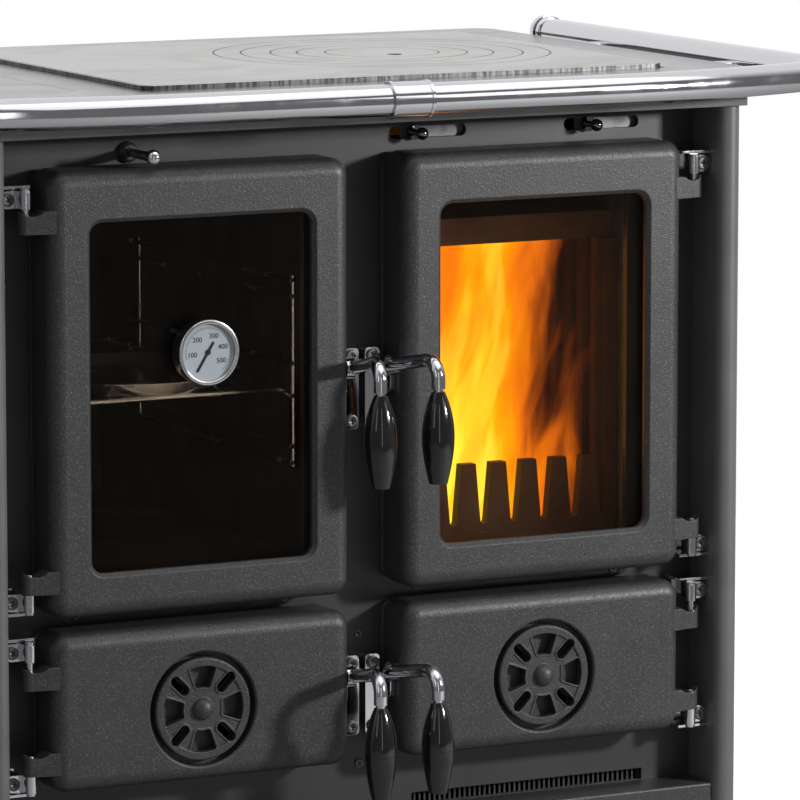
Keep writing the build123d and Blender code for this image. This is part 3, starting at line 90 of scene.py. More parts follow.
world = bpy.data.worlds.new("white_room")
scene.world = world
world.use_nodes = True
room = world.node_tree
room.nodes.clear()
mirrored = put(room, "LightPath")["Is Glossy Ray"]
aim = put(room, "SeparateXYZ", {0: put(room, "TexCoord")["Generated"]})
upward = maths(room, "MULTIPLY_ADD", aim["Z"], ceiling_pull, aim["Y"])
bright = mix_values(room, mirrored, ceiling, mirrored_ceiling)
walls = remap(room, upward, dim_below, bright_above, front_wall, bright)
level = mix_values(room, seen_by_lens(room), walls, 1.0)
backdrop = put(room, "Background", {"Color": grey(1.0), "Strength": level})[0]
put(room, "OutputWorld", {"Surface": backdrop})

# ---------------------------------------------------------------- studio floor
# The stove stands on a matt sheet that runs out to white for the lens and still takes the stove's
# soft shadow. In the chrome and the panes it shows dark.
floor_size = 4.2
floor_grey = 0.34
floor_shown = 0.94
floor_mirrored = 0.04
bpy.ops.mesh.primitive_plane_add(size=floor_size, location=(0, 0, 0))
floor = bpy.context.object
floor.name = "floor"
floor_paint = bpy.data.materials.new("floor_paint")
floor_paint.use_nodes = True
tree = floor_paint.node_tree
tree.nodes.clear()
matt = put(tree, "BsdfDiffuse", {"Color": grey(floor_grey)})[0]
mirrored = maths(tree, "MULTIPLY", put(tree, "LightPath")["Is Glossy Ray"], floor_mirrored)
lift = mix_values(tree, seen_by_lens(tree), mirrored, floor_shown)
glow = put(tree, "Emission", {"Color": grey(1.0), "Strength": lift})[0]
put(tree, "OutputMaterial", {"Surface": put(tree, "AddShader", {0: matt, 1: glow})[0]})
floor.data.materials.append(floor_paint)

# ---------------------------------------------------------------- lamps
# A small strong key lamp stands to the right in front of the stove, with a weak soft box beside it.
# A narrow strip and a side box fill in from the left, and two broad boxes hang over the hob.
front_middle = (0.0, -0.25, 0.6)


def soft_lamp(name, place, aim, size, power):
    """A flat lamp at a place, turned to its aim."""
    lamp_data = bpy.data.lights.new(name, "AREA")
    lamp_data.shape = "RECTANGLE"
    lamp_data.size, lamp_data.size_y = size
    lamp_data.energy = power
    lamp = bpy.data.objects.new(name, lamp_data)
    scene.collection.objects.link(lamp)
    lamp.location = place
    lamp.rotation_euler = (Vector(aim) - Vector(place)).to_track_quat("-Z", "Y").to_euler()


soft_lamp("key_lamp", (1.60, -1.88, 1.17), front_middle, size=(0.20, 0.20), power=54.0)
soft_lamp("soft_box", (1.35, -2.15, 1.45), front_middle, size=(0.7, 0.8), power=3.0)
soft_lamp("strip_lamp", (-0.60, -2.30, 0.85), front_middle, size=(0.10, 1.5), power=1.6)
soft_lamp("side_lamp", (-2.9, -2.0, 1.5), (0.0, -0.2, 0.6), size=(0.7, 1.5), power=4.0)
soft_lamp("overhead_lamp", (0.4, -1.0, 2.3), (0.0, -0.25, 0.5), size=(2.2, 1.4), power=11.0)
soft_lamp("top_lamp", (-0.6, 0.6, 2.4), (0.0, 0.0, 0.8), size=(1.4, 1.2), power=3.0)

# ---------------------------------------------------------------- camera
# A long lens, five metres off to the left, that looks down a little over the hob and takes in the
# doors, the front half of the top and the rail.
camera_place = (-2.160, -4.5365, 1.278)
camera_heading = 27.079
camera_dip = 8.24
camera_lens = 253.5
camera_data = bpy.data.cameras.new("camera")
camera_data.lens = camera_lens
camera_data.sensor_width = 36.0
camera = bpy.data.objects.new("camera", camera_data)
scene.collection.objects.link(camera)
camera.location = camera_place
camera.rotation_euler = (math.radians(90 - camera_dip), 0, math.radians(-camera_heading))
scene.camera = camera

# ---------------------------------------------------------------- painted castings
# The four doors, their air wheels and the base rail are grey iron castings, shot-blasted and
# sprayed with anthracite heat-proof paint that keeps a coarse sparkle. The drawer front matches.
casting_dark = 0.0255
casting_anthracite = (casting_dark, casting_dark * 0.98, casting_dark * 1.05, 1.0)
casting_edge_highlight = casting_dark * 5.0
casting_fleck = 0.15
casting_grain = 560.0
casting_highlight_width = 0.0014
casting_relief = 0.0004
mottle_per_m = 22.0
rubs_per_m = 70.0
flecks_to_grains = 1.2
smooth_grain, rough_grain = 0.36, 0.54
flat_turn, sharp_turn = 0.99, 0.75


def effect(name, inputs, outputs):
    """An empty node group with these named inputs (with a usual value) and outputs."""
    tree = bpy.data.node_groups.new(name, "ShaderNodeTree")
    for label, value in inputs.items():
        kind = "NodeSocketColor" if isinstance(value, tuple) else "NodeSocketFloat"
        tree.interface.new_socket(label, in_out="INPUT", socket_type=kind).default_value = value
    for label, kind in outputs.items():
        tree.interface.new_socket(label, in_out="OUTPUT", socket_type="NodeSocket" + kind)
    return tree, tree.nodes.new("NodeGroupInput").outputs, tree.nodes.new("NodeGroupOutput").inputs


def use(tree, name, **inputs):
    """Places a shared effect in a material, with that material's own values."""
    made = tree.nodes.new("ShaderNodeGroup")
    made.node_tree = bpy.data.node_groups[name]
    for label, value in inputs.items():
        made.inputs[label.replace("_", " ")].default_value = value
    return made.outputs


def feed(tree, sockets, **sources):
    """Links each source to the socket of that name."""
    for label, source in sources.items():
        tree.links.new(source, sockets[label.replace("_", " ")])


def finish(name, **values):
    """A new material with its principled shader; the values are the shader's own sockets."""
    made = bpy.data.materials.new(name)
    made.use_nodes = True
    tree = made.node_tree
    shader = tree.nodes["Principled BSDF"]
    for label, value in values.items():
        shader.inputs[label.replace("_", " ")].default_value = value
    return made, tree, shader.inputs


def mix_colours(tree, share, first, second):
    return put(tree, "Mix", {0: share, 6: first, 7: second}, data_type="RGBA")[2]


def relief(tree, sockets, height, strength, depth, normal=None):
    """A bump from a height, on top of a normal when one is given."""
    inputs = {"Height": height, "Strength": strength, "Distance": depth}
    if normal is not None:
        inputs["Normal"] = normal
    feed(tree, sockets, Normal=put(tree, "Bump", inputs)[0])


def dress(material, *names):
    """Gives CAD nodes one material all over."""
    for name in names:
        mesh = nodes[name].data
        mesh.materials.clear()
        mesh.materials.append(material)


# Speckled grain of sprayed paint: broad mottling with bright flecks on top.
tree, given, out = effect(
    "cast grain",
    {"Paint": grey(0.05), "Fleck": grey(0.2), "Mottle": 0.2, "Grain per m": 900.0, "Fleck share": 0.3},
    {"Colour": "Color", "Roughness": "Float", "Height": "Float"})
place = put(tree, "TexCoord")["Object"]
fine = put(tree, "TexNoise", {"Vector": place, "Scale": given["Grain per m"], "Detail": 3.0,
                              "Roughness": 0.65})[0]
broad = put(tree, "TexNoise", {"Vector": place, "Scale": mottle_per_m, "Detail": 3.0})[0]
flecks_per_m = maths(tree, "MULTIPLY", given["Grain per m"], flecks_to_grains)
flecks = put(tree, "TexVoronoi", {"Vector": place, "Scale": flecks_per_m})
fleck_on = remap(tree, flecks["Distance"], 0.12, 0.5, 1.0, 0.0)
fleck_pick = put(tree, "SeparateColor", {0: flecks["Color"]})[0]
fleck_pick = remap(tree, fleck_pick, 0.25, 1.0, 0.0, given["Fleck share"])
fleck = maths(tree, "MULTIPLY", fleck_on, fleck_pick)
shade = maths(tree, "MULTIPLY", remap(tree, broad, 0.3, 0.7, -0.5, 0.5), given["Mottle"])
shade = maths(tree, "ADD", shade, 1.0)
mottled = put(tree, "VectorMath", {0: given["Paint"], "Scale": shade}, operation="SCALE")[0]
feed(tree, out, Colour=mix_colours(tree, fleck, mottled, given["Fleck"]),
     Roughness=remap(tree, fine, 0.3, 0.7, smooth_grain, rough_grain),
     Height=maths(tree, "ADD", fine, fleck))

# Rounded arrises, lightened in patches: partly paint rubbed by wear, partly a painted highlight along
# the edges.
tree, given, out = effect("worn edge and painted highlight", {"Width": 0.0012, "Amount": 0.6},
                          {"Mask": "Float", "Normal": "Vector"})
rounded = put(tree, "Bevel", {"Radius": given["Width"]}, samples=4)["Normal"]
flat = put(tree, "NewGeometry")["Normal"]
turn = put(tree, "VectorMath", {0: rounded, 1: flat}, operation="DOT_PRODUCT")["Value"]
edge = remap(tree, turn, flat_turn, sharp_turn, 0.0, 1.0)
patchy = put(tree, "TexNoise", {"Vector": put(tree, "TexCoord")["Object"], "Scale": rubs_per_m,
                                "Detail": 4.0})[0]
edge = maths(tree, "MULTIPLY", edge, remap(tree, patchy, 0.38, 0.62, 0.25, 1.0))
feed(tree, out, Mask=maths(tree, "MULTIPLY", edge, given["Amount"]), Normal=rounded)

casting_paint, tree, sockets = finish("anthracite_casting_paint", Specular_IOR_Level=0.45)
grain = use(tree, "cast grain", Paint=casting_anthracite, Fleck=grey(casting_fleck), Mottle=0.3,
            Grain_per_m=casting_grain, Fleck_share=0.55)
# The casting arrises are lightened as wear and as a painted highlight.
edge = use(tree, "worn edge and painted highlight", Width=casting_highlight_width, Amount=0.8)
feed(tree, sockets, Roughness=grain["Roughness"],
     Base_Color=mix_colours(tree, edge["Mask"], grain["Colour"], grey(casting_edge_highlight)))
relief(tree, sockets, grain["Height"], strength=0.55, depth=casting_relief, normal=edge["Normal"])
dress(casting_paint, "oven_door", "fire_door", "ash_door", "lower_left_door", "air_wheel_left",
      "air_wheel_right", "base_rail", "wood_drawer")

# ---------------------------------------------------------------- painted sheet
# Side panels, back, plinth, front plate and top frame are folded sheet steel in the same
# anthracite, smoother, with the light orange peel of a sprayed coat. The top frame is glossiest.
sheet_grain = 1400.0
sheet_highlight_width = 0.0012
sheet_relief = 0.00015

# Faint wiping and handling marks: patches where a surface is duller.
tree, given, out = effect(
    "handling marks", {"Sharp": 0.08, "Dull": 0.25, "Marks per m": 12.0},
    {"Roughness": "Float", "Mask": "Float"})
place = put(tree, "TexCoord")["Object"]
cloud = put(tree, "TexNoise", {"Vector": place, "Scale": given["Marks per m"], "Detail": 5.0,
                               "Distortion": 1.2})[0]
mask = remap(tree, cloud, 0.42, 0.68, 0.0, 1.0)
feed(tree, out, Roughness=mix_values(tree, mask, given["Sharp"], given["Dull"]), Mask=mask)


def sheet_paint(name, paint, rough, gloss):
    """Sprayed sheet: how pale the paint is, how rough, and how strongly it reflects."""
    material, tree, sockets = finish(name, Specular_IOR_Level=gloss)
    grain = use(tree, "cast grain", Paint=grey(paint), Fleck=grey(paint * 1.8), Mottle=0.18,
                Grain_per_m=sheet_grain, Fleck_share=0.2)
    # The sheet arrises are lightened as wear and as a painted highlight.
    edge = use(tree, "worn edge and painted highlight", Width=sheet_highlight_width, Amount=0.4)
    marks = use(tree, "handling marks", Sharp=rough, Dull=rough + 0.06, Marks_per_m=7.0)
    feed(tree, sockets, Roughness=marks["Roughness"],
         Base_Color=mix_colours(tree, edge["Mask"], grain["Colour"], grey(paint * 2.2)))
    relief(tree, sockets, grain["Height"], strength=0.25, depth=sheet_relief, normal=edge["Normal"])
    return material


panel_paint = sheet_paint("side_panel_paint", paint=0.098, rough=0.36, gloss=0.5)
dress(panel_paint, "side_panel_left", "side_panel_right", "back_panel", "flue_collar", "base_frame")
plate_paint = sheet_paint("front_plate_paint", paint=0.030, rough=0.38, gloss=0.45)
dress(plate_paint, "front_plate")
frame_paint = sheet_paint("top_frame_paint", paint=0.10, rough=0.18, gloss=0.7)
dress(frame_paint, "top_frame", "cover_plate")

# ---------------------------------------------------------------- chrome and bright steel
# The rail, handle arms, hinge brackets, keepers and pull rod are polished and chrome plated, with
# faint wiping marks that blur the reflections. The oven's wirework and tray are stainless steel.
metal_arris = 0.0007


def polished(name, colour, sharp, dull):
    """Bright metal with marks that dull it and softly rounded arrises."""
    material, tree, sockets = finish(name, Metallic=1.0, Base_Color=colour)
    marks = use(tree, "handling marks", Sharp=sharp, Dull=dull, Marks_per_m=18.0)
    edge = use(tree, "worn edge and painted highlight", Width=metal_arris, Amount=0.0)
    feed(tree, sockets, Roughness=marks["Roughness"], Normal=edge["Normal"])
    return material


chrome = polished("chrome_plate", (0.62, 0.62, 0.65, 1.0), sharp=0.06, dull=0.16)
dress(chrome, "rail_left", "rail_right", "rail_fittings", "rail_posts", "hinge_brackets",
      "latch_keepers", "oven_handle_arm", "fire_handle_arm", "ash_handle_arm",
      "lower_left_handle_arm", "bypass_rod")
steel = polished("stainless_wire", (0.60, 0.59, 0.57, 1.0), sharp=0.16, dull=0.3)
dress(steel, "oven_racks", "oven_shelf", "baking_tray")

# ---------------------------------------------------------------- screws and levelling feet
# Cross-recessed screws of blackened steel hold the hinge leaves, the latch keepers and the front
# plate. One head is turned and its recess cut, and the rest are copies of it. The feet match.
screw_round, screw_high = 0.0055, 0.0021
slot_long, slot_deep, slot_wide = 0.0058, 0.0024, 0.0011
screw_crown = 0.0005
sides = (-1, 1)
leaf_x, leaf_y, leaf_heights = 0.333, -0.2475, (0.772, 0.432, 0.3895, 0.277)
keeper_x, keeper_y, keeper_heights = 0.010, -0.2395, (0.564, 0.620, 0.295, 0.351)
plate_y, plate_screw_share = -0.2165, 0.73
plate_spots = ((0.065, 0.4105), (0.261, 0.4105), (0.325, 0.695))
mullion_x, mullion_heights = 0.008, (0.373, 0.257)

dark_steel = polished("dark_screw", grey(0.10), sharp=0.35, dull=0.5)
dress(dark_steel, "levelling_feet")


def settle():
    """Works the active object's place, turn and scale into its mesh."""
    bpy.ops.object.transform_apply(location=True, rotation=True, scale=True)


bpy.ops.mesh.primitive_cylinder_add(vertices=40, radius=screw_round, depth=screw_high,
                                    rotation=(math.radians(90), 0, 0), location=(0, -screw_high / 2, 0))
screw = bpy.context.object
settle()
bpy.ops.mesh.primitive_cube_add(size=1.0)
slot_cutter = bpy.context.object
slot_cutter.scale = (slot_long, slot_deep, slot_wide)
slot_cutter.location = (0, -screw_high, 0)
settle()
bpy.ops.object.mode_set(mode="EDIT")
bpy.ops.mesh.select_all(action="SELECT")
bpy.ops.mesh.duplicate()
bpy.ops.transform.rotate(value=math.radians(90), orient_axis="Y", center_override=(0, 0, 0))
bpy.ops.object.mode_set(mode="OBJECT")
recess = screw.modifiers.new("recess", "BOOLEAN")
recess.operation = "DIFFERENCE"
recess.solver = "EXACT"
recess.use_self = True
recess.object = slot_cutter
crown = screw.modifiers.new("crown", "BEVEL")
crown.width = screw_crown
crown.segments = 3
crown.angle_limit = math.radians(60)
bpy.context.view_layer.objects.active = screw
bpy.ops.object.modifier_apply(modifier="recess")
bpy.ops.object.modifier_apply(modifier="crown")
bpy.data.objects.remove(slot_cutter)
bpy.ops.object.select_all(action="DESELECT")
screw.select_set(True)
bpy.ops.object.shade_smooth_by_angle(angle=math.radians(40))
screw.data.materials.append(dark_steel)

screw_places = [(side * leaf_x, leaf_y, high, 1.0) for side in sides for high in leaf_heights]
screw_places += [(side * keeper_x, keeper_y, high, 1.0) for side in sides for high in keeper_heights]
screw_places += [(side * across, plate_y, high, plate_screw_share)
                 for side in sides for across, high in plate_spots]
screw_places += [(mullion_x, plate_y, high, plate_screw_share) for high in mullion_heights]
for number, (across, deep, high, share) in enumerate(screw_places):
    head = screw.copy()
    head.data = screw.data.copy()
    head.name = f"front_screw_{number}"
    scene.collection.objects.link(head)
    turn = Matrix.Rotation(random.uniform(0, math.pi), 4, "Y")
    head.data.transform(Matrix.Translation((across, deep, high)) @ turn @ Matrix.Scale(share, 4))
    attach(head, "stove")
    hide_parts("front_screws")
bpy.data.objects.remove(screw)

# ---------------------------------------------------------------- hob
# The cooking plate, its nested rings and the middle disc are bare grey iron, ground flat and
# lightly oiled. The rings carry turning lines, a painted line of shade darkens their seams, and the
# sawn sides are painted dark, partly as painted shade in the ring gaps.
lid_centre = (0.167, 0.0515, 0.0)
lid_seams = (0.1542, 0.1292, 0.1022, 0.0782, 0.0522)
seam_shade_width = 0.0009
seam_shade_black = grey(0.03)
hob_grey = 0.46
oiled = (hob_grey, hob_grey * 0.98, hob_grey * 0.97, 1.0)
stained = (hob_grey * 0.90, hob_grey * 0.88, hob_grey * 0.87, 1.0)
hob_arris = 0.0008
turning_lines = 5200.0
sawn_lines = 420.0
sawn_and_gap_shade_dark, sawn_and_gap_shade_pale = 0.03, 0.12
along_x = (0.02, 1.0, 1.0)
along_z = (1.0, 1.0, 0.03)
hob_relief = 0.0001

# Fine parallel lines left by grinding, along X.
tree, given, out = effect("grinding lines", {"Lines per m": 900.0}, {"Height": "Float"})
place = put(tree, "TexCoord")["Object"]
stretched = put(tree, "VectorMath", {0: place, 1: along_x}, operation="MULTIPLY")[0]
feed(tree, out, Height=put(tree, "TexNoise", {"Vector": stretched, "Scale": given["Lines per m"],
                                              "Detail": 2.0})[0])

hob_iron, tree, sockets = finish("ground_hob_iron", Metallic=0.85, Base_Color=grey(hob_grey))
cloud = use(tree, "handling marks", Sharp=0.34, Dull=0.42, Marks_per_m=9.0)
place = put(tree, "TexCoord")["Object"]
# Faces that don't face up are painted dark: partly the sawn sides' own tone, partly painted shade on
# the ring-gap walls.
facing_up = put(tree, "SeparateXYZ", {0: put(tree, "NewGeometry")["Normal"]})["Z"]
side_and_gap_shade = remap(tree, facing_up, 0.3, 0.8, 1.0, 0.0)
upright = put(tree, "VectorMath", {0: place, 1: along_z}, operation="MULTIPLY")[0]
sawn_and_gap_shade = put(tree, "TexNoise", {"Vector": upright, "Scale": sawn_lines, "Detail": 3.0})[0]
sawn_and_gap_shade = remap(tree, sawn_and_gap_shade, 0.4, 0.62, sawn_and_gap_shade_dark, sawn_and_gap_shade_pale)
shown = mix_colours(tree, side_and_gap_shade, mix_colours(tree, cloud["Mask"], oiled, stained), sawn_and_gap_shade)
from_centre = put(tree, "VectorMath", {0: place, 1: lid_centre}, operation="SUBTRACT")[0]
from_centre = put(tree, "VectorMath", {0: from_centre, 1: (1, 1, 0)}, operation="MULTIPLY")[0]
reach = put(tree, "VectorMath", {0: from_centre}, operation="LENGTH")["Value"]
# Painted shade: a dark line along each seam between the rings.
for seam in lid_seams:
    shown = mix_colours(tree, maths(tree, "COMPARE", reach, seam, seam_shade_width), shown, seam_shade_black)
turned = maths(tree, "SINE", maths(tree, "MULTIPLY", reach, turning_lines))
on_lid = maths(tree, "LESS_THAN", reach, max(lid_seams))
ground = use(tree, "grinding lines", Lines_per_m=1100.0)["Height"]
edge = use(tree, "worn edge and painted highlight", Width=hob_arris, Amount=0.0)
feed(tree, sockets, Base_Color=shown, Roughness=cloud["Roughness"])
lines = mix_values(tree, on_lid, ground, turned)
relief(tree, sockets, lines, strength=0.18, depth=hob_relief, normal=edge["Normal"])
dress(hob_iron, "hob_plate", "hob_ring_1", "hob_ring_2", "hob_ring_3", "hob_ring_4", "hob_disc")

# ---------------------------------------------------------------- grips
# The four grips are turned and lacquered glossy black. Under the clear coat the black is slightly
# uneven in tone and gloss.
lacquer_black, lacquer_hazy = grey(0.006), grey(0.011)
grip_black, tree, sockets = finish("grip_black_lacquer", Coat_Weight=1.0, Coat_Roughness=0.07,
                                   Specular_IOR_Level=0.1)
marks = use(tree, "handling marks", Sharp=0.10, Dull=0.22, Marks_per_m=40.0)
feed(tree, sockets, Roughness=marks["Roughness"],
     Base_Color=mix_colours(tree, marks["Mask"], lacquer_black, lacquer_hazy))
dress(grip_black, "oven_handle_grip", "fire_handle_grip", "ash_handle_grip", "lower_left_handle_grip")

# ---------------------------------------------------------------- panes
# Ceramic panes 4 mm thick, set from behind in the two upper doors. The glass is slightly brown,
# with a faint film of smoke.
clear_brown = (0.62, 0.55, 0.48, 1.0)
filmed_brown = (0.57, 0.50, 0.43, 1.0)
pane, tree, sockets = finish("ceramic_pane", Transmission_Weight=1.0, IOR=1.16, Roughness=0.0)
marks = use(tree, "handling marks", Sharp=0.0, Dull=1.0, Marks_per_m=9.0)
feed(tree, sockets, Base_Color=mix_colours(tree, marks["Mask"], clear_brown, filmed_brown))
dress(pane, "oven_door_glass", "fire_door_glass")

# ---------------------------------------------------------------- rope seals
# Rope of braided glass fibre, glued into a groove round the back of each door and pressed flat
# against the front plate.
braid_scale = 160.0
braid_relief = 0.0008
rope_dark, rope_pale = grey(0.05), grey(0.17)
rope, tree, sockets = finish("braided_rope_seal", Roughness=0.95)
braid = put(tree, "TexWave", {"Vector": put(tree, "TexCoord")["Object"], "Scale": braid_scale,
                              "Distortion": 1.5}, bands_direction="DIAGONAL")["Fac"]
feed(tree, sockets, Base_Color=mix_colours(tree, braid, rope_dark, rope_pale))
relief(tree, sockets, braid, strength=0.8, depth=braid_relief)
dress(rope, "oven_door_gasket", "fire_door_gasket", "ash_door_gasket", "lower_left_gasket")

# ---------------------------------------------------------------- oven
# The oven is a folded and welded box in dark brown enamel, dulled where baking has left its
# stains.
enamel_brown = (0.016, 0.007, 0.002, 1.0)
enamel_baked = (0.009, 0.004, 0.001, 1.0)
enamel, tree, sockets = finish("brown_oven_enamel", Specular_IOR_Level=0.25)
marks = use(tree, "handling marks", Sharp=0.5, Dull=0.7, Marks_per_m=10.0)
feed(tree, sockets, Roughness=marks["Roughness"],
     Base_Color=mix_colours(tree, marks["Mask"], enamel_brown, enamel_baked))
dress(enamel, "oven_box")

# ---------------------------------------------------------------- firebox
# Slabs, baffle, grate and log guard are cast iron that the fire has browned, with a dusting of
# ash in patches.
fire_brown = (0.125, 0.058, 0.028, 1.0)
fire_fleck = tuple(2.2 * share for share in fire_brown[:3]) + (1.0,)
ash_brown = (0.145, 0.076, 0.042, 1.0)
fire_grain = 600.0
fire_relief = 0.0004
fire_iron, tree, sockets = finish("browned_cast_iron", Specular_IOR_Level=0.12)
grain = use(tree, "cast grain", Paint=fire_brown, Fleck=fire_fleck, Mottle=0.6,
            Grain_per_m=fire_grain, Fleck_share=0.8)
marks = use(tree, "handling marks", Sharp=0.5, Dull=0.8, Marks_per_m=16.0)
feed(tree, sockets, Roughness=grain["Roughness"],
     Base_Color=mix_colours(tree, marks["Mask"], grain["Colour"], ash_brown))
relief(tree, sockets, grain["Height"], strength=0.6, depth=fire_relief)
dress(fire_iron, "firebox_lining", "fire_grate", "log_guard", "smoke_baffle")

# ---------------------------------------------------------------- inner sheet metal
# The firebox casing, the liners of the two lower compartments and the ash pan are folded from
# aluminised steel sheet, greyed by heat and ash.
sheet_bright, sheet_dull = grey(0.20), grey(0.11)
zinc, tree, sockets = finish("aluminised_sheet", Metallic=0.7)
marks = use(tree, "handling marks", Sharp=0.4, Dull=0.65, Marks_per_m=14.0)
feed(tree, sockets, Roughness=marks["Roughness"],
     Base_Color=mix_colours(tree, marks["Mask"], sheet_bright, sheet_dull))
dress(zinc, "firebox_casing", "lower_liners", "ash_pan")

# ---------------------------------------------------------------- air sliders
# Each slider is a zinc-plated strip behind its slot, with a turned knob in black nickel in front.
# One material serves both, and changes where the knob leaves the front plate.
knob_start = -0.2185
strip_bright, strip_dull = grey(0.17), grey(0.12)
knob_nickel = grey(0.22)
strip_metal, knob_rough = 0.25, 0.07
slider_zinc, tree, sockets = finish("slider_zinc")
marks = use(tree, "handling marks", Sharp=0.35, Dull=0.55, Marks_per_m=60.0)
deep = put(tree, "SeparateXYZ", {0: put(tree, "TexCoord")["Object"]})["Y"]
knob = maths(tree, "LESS_THAN", deep, knob_start)
strip = mix_colours(tree, marks["Mask"], strip_bright, strip_dull)
feed(tree, sockets, Base_Color=mix_colours(tree, knob, strip, knob_nickel),
     Metallic=mix_values(tree, knob, strip_metal, 1.0),
     Roughness=mix_values(tree, knob, marks["Roughness"], knob_rough))
dress(slider_zinc, "air_slider_left", "air_slider_right")

# ---------------------------------------------------------------- fire
# Wood burns behind the log guard. Flames aren't a piece of the stove: they are three thin waved
# sheets that glow and let what is behind show through, and a small warm lamp adds their light.
flame_left, flame_right = 0.047, 0.272
flame_low, flame_high = 0.432, 0.703
flame_lean = -0.055
flame_stretch = 0.24
flame_wave, waves_up, waves_across, wave_step = 0.008, 38, 25, 2
flame_seed, seed_step = 3.1, 1.7
tongues_per_m, wisps_per_m, wisp_share = 17.0, 60.0, 0.22
full_left, thin_right = 0.150, 0.268
left_heat, right_heat = 0.24, -0.42
foot_heat, tip_heat = 0.28, -0.07
clear_heat, solid_heat = 0.50, 0.72
glow_on_walls = 0.05
flame_sheets = ((-0.148, 0.5, 2.2), (-0.126, 0.75, 2.35), (-0.098, 1.0, 2.5))
smoke_brown = (0.010, 0.0015, 0.0003, 1.0)
flame_yellow = (1.0, 0.78, 0.05, 1.0)
flame_tints = ((0.52, (0.12, 0.018, 0.001, 1.0)), (0.66, (0.62, 0.13, 0.004, 1.0)),
               (0.80, (0.85, 0.22, 0.0005, 1.0)), (0.93, (1.0, 0.44, 0.001, 1.0)))


def flame_paint(name, seed, cover, glow):
    """Streaks of flame that lean to the right as they rise, from yellow to deep orange."""
    made = bpy.data.materials.new(name)
    made.use_nodes = True
    tree = made.node_tree
    tree.nodes.clear()
    place = put(tree, "SeparateXYZ", {0: put(tree, "TexCoord")["Object"]})
    rise = remap(tree, place["Z"], flame_low, flame_high, 0.0, 1.0)
    lean = maths(tree, "MULTIPLY_ADD", rise, flame_lean, place["X"])
    slow_rise = maths(tree, "MULTIPLY", place["Z"], flame_stretch)
    where = put(tree, "CombineXYZ", {0: lean, 1: seed, 2: slow_rise})[0]
    streak = put(tree, "TexNoise", {"Vector": where, "Scale": tongues_per_m, "Detail": 4.0,
                                    "Roughness": 0.5, "Distortion": 0.9})[0]
    wisp = put(tree, "TexNoise", {"Vector": where, "Scale": wisps_per_m, "Detail": 3.0,
                                  "Distortion": 0.6})[0]
    heat = maths(tree, "ADD", streak, remap(tree, lean, full_left, thin_right, left_heat, right_heat))
    heat = maths(tree, "ADD", heat, remap(tree, rise, 0.0, 0.9, foot_heat, tip_heat))
    heat = maths(tree, "MULTIPLY_ADD", wisp, wisp_share, heat)
    ramp = put(tree, "ValToRGB", {0: heat})
    stops = ramp[0].node.color_ramp.elements
    stops[0].position, stops[0].color = 0.40, smoke_brown
    stops[1].position, stops[1].color = 1.06, flame_yellow
    for spot, tint in flame_tints:
        stops.new(spot).color = tint
    on_walls = put(tree, "LightPath")["Is Diffuse Ray"]
    strength = mix_values(tree, on_walls, glow, glow * glow_on_walls)
    shine = put(tree, "Emission", {"Color": ramp["Color"], "Strength": strength})[0]
    thick = remap(tree, heat, clear_heat, solid_heat, 0.0, cover)
    clear = put(tree, "BsdfTransparent")[0]
    put(tree, "OutputMaterial", {"Surface": put(tree, "MixShader", {0: thick, 1: clear, 2: shine})[0]})
    return made


for number, (depth, cover, glow) in enumerate(flame_sheets):
    bpy.ops.mesh.primitive_grid_add(x_subdivisions=24, y_subdivisions=32, size=1.0)
    flame = bpy.context.object
    flame.name = f"flame_{number}"
    flame.scale = (flame_right - flame_left, flame_high - flame_low, 1.0)
    flame.rotation_euler = (math.radians(90), 0, 0)
    flame.location = ((flame_left + flame_right) / 2, depth, (flame_low + flame_high) / 2)
    settle()
    for vertex in flame.data.vertices:
        phase = vertex.co.z * waves_up + vertex.co.x * waves_across + number * wave_step
        vertex.co.y += flame_wave * math.sin(phase)
    seed = flame_seed + number * seed_step
    flame.data.materials.append(flame_paint(f"flame_{number}_glow", seed, cover, glow))
    bpy.ops.object.shade_smooth()

fire_middle = (0.16, -0.06, 0.56)
fire_orange = (1.0, 0.42, 0.14)
fire_data = bpy.data.lights.new("fire_lamp", "POINT")
fire_data.energy = 0.25
fire_data.shadow_soft_size = 0.05
fire_data.color = fire_orange
fire_lamp = bpy.data.objects.new("fire_lamp", fire_data)
fire_lamp.location = fire_middle
scene.collection.objects.link(fire_lamp)

# ---------------------------------------------------------------- thermometer case
# A round bimetal thermometer sits on the oven pane. Its case is turned from steel, bored out in
# front for the dial, with a rounded lip.
gauge_x, gauge_z = -0.1615, 0.637
gauge_back, gauge_deep, gauge_round = -0.2595, 0.016, 0.028
dial_round = 0.0242
dial_sink = 0.0042
lip_round = 0.0013

bpy.ops.mesh.primitive_cylinder_add(vertices=128, radius=gauge_round, depth=gauge_deep,
                                    location=(gauge_x, gauge_back - gauge_deep / 2, gauge_z),
                                    rotation=(math.radians(90), 0, 0))
bezel = bpy.context.object
bezel.name = "thermometer_bezel"
settle()
bpy.ops.object.mode_set(mode="EDIT")
bpy.ops.mesh.select_all(action="DESELECT")
bpy.ops.object.mode_set(mode="OBJECT")
for face in bezel.data.polygons:
    face.select = face.normal.y < -0.9
bpy.ops.object.mode_set(mode="EDIT")
bpy.ops.mesh.inset(thickness=gauge_round - dial_round)
bpy.ops.mesh.extrude_region_move(TRANSFORM_OT_translate={"value": (0, dial_sink, 0)})
bpy.ops.object.mode_set(mode="OBJECT")
lip = bezel.modifiers.new("lip", "BEVEL")
lip.width = lip_round
lip.segments = 5
lip.angle_limit = math.radians(50)
bpy.ops.object.modifier_apply(modifier="lip")
bpy.ops.object.shade_smooth_by_angle(angle=math.radians(35))
bezel_steel = polished("turned_bezel_steel", grey(0.62), sharp=0.14, dull=0.24)
bezel.data.materials.append(bezel_steel)
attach(bezel, "oven_door")
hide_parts("thermometer_body")

